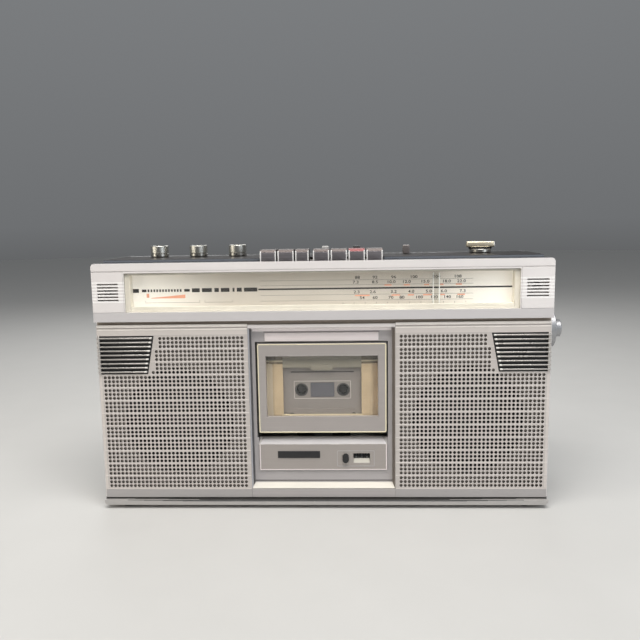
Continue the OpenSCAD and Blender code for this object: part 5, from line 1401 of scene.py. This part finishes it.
def makeSelector(look):  # a round base, a neck painted black as the shade under the bar, and a bar whose face leans back toward its top
    low, high = nodeBox("band_selector")
    x, y, _ = (low + high) / 2
    centre = (x, y, 0)
    bottom = high[2] - look["height"]
    deck = bottom + look["baseHeight"]
    radius, foot, rim = look["base"] / 2, look["footCut"], look["rimCut"]
    section = [(radius - foot, bottom, 0), (radius, bottom + foot, 0), (radius, deck - rim, 0), (radius - rim, deck, 0)]
    base = turned(section, "top", centre, around=64)
    shaft = rod(look["shaft"], low[2], bottom + look["shaftLap"], "top", centre)
    makePiece("selectorBase", [base, shaft], "knobChrome", "band_selector", stands=["band_selector"])
    top = high[2] - look["lower"]
    head = top - look["head"]
    below, above = look["neckLaps"]
    section = [(look["neckFlare"], deck - below), (0.0, head + above)]
    neck = softBlock(*look["neck"], look["neckCorner"], section, "top", centre)
    makePiece("selectorNeck", [neck], "black_plastic", "band_selector")
    section = stepsFrom(head, look["barFoot"]) + stepsFrom(top, look["barTop"])
    bar = softBlock(*look["bar"], look["corner"], section, "top", centre)
    makePiece("selectorBar", [bar], "selectorGold", "band_selector")
    # Tip: the bar's right end, painted near white as a painted highlight
    section = stepsFrom(head, look["tipFoot"]) + stepsFrom(top, look["tipTop"])
    end = x + look["bar"][0] / 2 - look["tip"] / 2 + look["tipOut"]
    tip = softBlock(look["tip"], look["tipWide"], look["tipCorner"], section, "top", (end, y, 0))
    makePiece("selectorTip", [tip], "keyEdge", "band_selector")


makeSelector(selectorLook)
print("keys and knobs made")

# Handle, aerial and back

gripLook = {"ribs": 60, "ribDeep": 0.5, "ribHalf": 120.0, "steps": 481, "around": 48, "square": 0.55}


def makeGrip(look):  # an oval, squared by a power of its cosine and sine, with a cosine wave along it as ribs
    low, high = nodeBox("handle_grip")
    middle, half = (low + high) / 2, (high - low) / 2
    along = np.linspace(low[0], high[0], look["steps"])
    angle = fullTurn(look["around"])
    wave = 0.5 - 0.5 * np.cos(along / look["ribHalf"] * np.pi * look["ribs"] / 2)
    shrink = look["ribDeep"] * ((np.abs(along) < look["ribHalf"]) * wave)[:, None]
    across, upright = (np.sign(side) * np.abs(side) ** look["square"] for side in (np.cos(angle), np.sin(angle)))
    points = np.stack([along[:, None] + 0 * angle, middle[1] + (half[1] - shrink) * across,
                       middle[2] + (half[2] - shrink) * upright], -1)
    makePiece("gripSleeve", [loft(points)], "black_plastic", "handle", stands=["handle_grip"])


makeGrip(gripLook)

aerialLook = {
    "collars": 3, "length": 6.0, "first": 22.0, "last": 10.0, "axis": (100.5, 221.5),
    "radius": 3.5, "sink": 0.02, "proud": 0.25, "slope": 0.4,
}


def makeAerialCollars(look):  # rings with sloping ends round the tube
    low, high = nodeBox("aerial_tube")
    inner, outer, slope = look["radius"] - look["sink"], look["radius"] + look["proud"], look["slope"]
    rings = []
    for start in np.linspace(low[0] + look["first"], high[0] - look["last"], look["collars"]):
        end = start + look["length"]
        section = [(inner, start, 0), (outer, start + slope, 0), (outer, end - slope, 0), (inner, end, 0)]
        rings.append(turned(section, "side", (0, *look["axis"]), around=32))
    makePiece("aerialCollars", rings, "bright_chrome", "aerial_tube")


makeAerialCollars(aerialLook)

backLook = {
    "jacks": (150.0, 166.0, 182.0), "jackHeight": 60.0, "jackSize": (15.6, 16.0), "jackCorner": 0.8,
    "faceIn": 0.8, "faceSlope": 0.4, "faceShare": 0.96, "bore": 1.8, "boreDeep": 12.0,
    # (radius, rise) of the collar: its foot and its outside from the socket's face, its top from the back
    "collarFoot": ((1.95, -0.1),), "collarTop": ((1.95, -0.3), (2.35, -0.02), (3.7, -0.02)),
    "collarOut": ((4.2, 0.1), (4.2, -0.1)),
    "lidRibs": 9, "ribPitch": 5.0, "ribHalf": 112.0, "ribSink": 0.05, "ribRise": 0.45, "ribHalfTall": 0.9,
}


def makeBack(look):
    low, high = nodeBox("jack_sockets")
    back = high[1]
    face = back - look["faceIn"]
    # Socket: a square outline run to the face, drawn in to a circle there, and down the bore
    outline = roundOutline(*look["jackSize"], look["jackCorner"], steps=8)
    angle = np.arctan2(outline[:, 1], outline[:, 0])
    circle = look["bore"] * np.stack([np.cos(angle), np.sin(angle)], -1)
    steps = ((outline, low[1]), (outline, face - look["faceSlope"]), (outline * look["faceShare"], face),
             (circle, face), (circle, face - look["boreDeep"]))
    rings = np.array([np.column_stack([flat, np.full(len(flat), depth)]) for flat, depth in steps])
    section = [*stepsFrom(face, look["collarFoot"]), *stepsFrom(back, look["collarTop"]),
               *stepsFrom(face, look["collarOut"])]
    centres = [(x, 0, look["jackHeight"]) for x in look["jacks"]]
    blocks = [loft(lay(rings, "front", centre)) for centre in centres]
    collars = [hoopAround(section, "front", centre, around=32) for centre in centres]
    makePiece("jackBlocks", blocks, "black_plastic", "cabinet", stands=["jack_sockets"])
    makePiece("jackCollars", collars, "bright_chrome", "cabinet")

    # Ribs of the lid: a half ellipse run across it
    lidLow, lidHigh = nodeBox("battery_door")
    across, out = arch(look["ribHalfTall"], look["ribRise"])
    rib = np.column_stack([lidHigh[1] - look["ribSink"] + out, across])
    heights = (lidLow[2] + lidHigh[2]) / 2 + spread(look["lidRibs"], look["ribPitch"])
    ribs = [barAlong(rib + [0, z], -look["ribHalf"], look["ribHalf"]) for z in heights]
    makePiece("lidRibs", ribs, "charcoal_case", "battery_door")


makeBack(backLook)
print("handle, aerial and back made")

bpy.context.scene.view_settings.view_transform = "Standard"
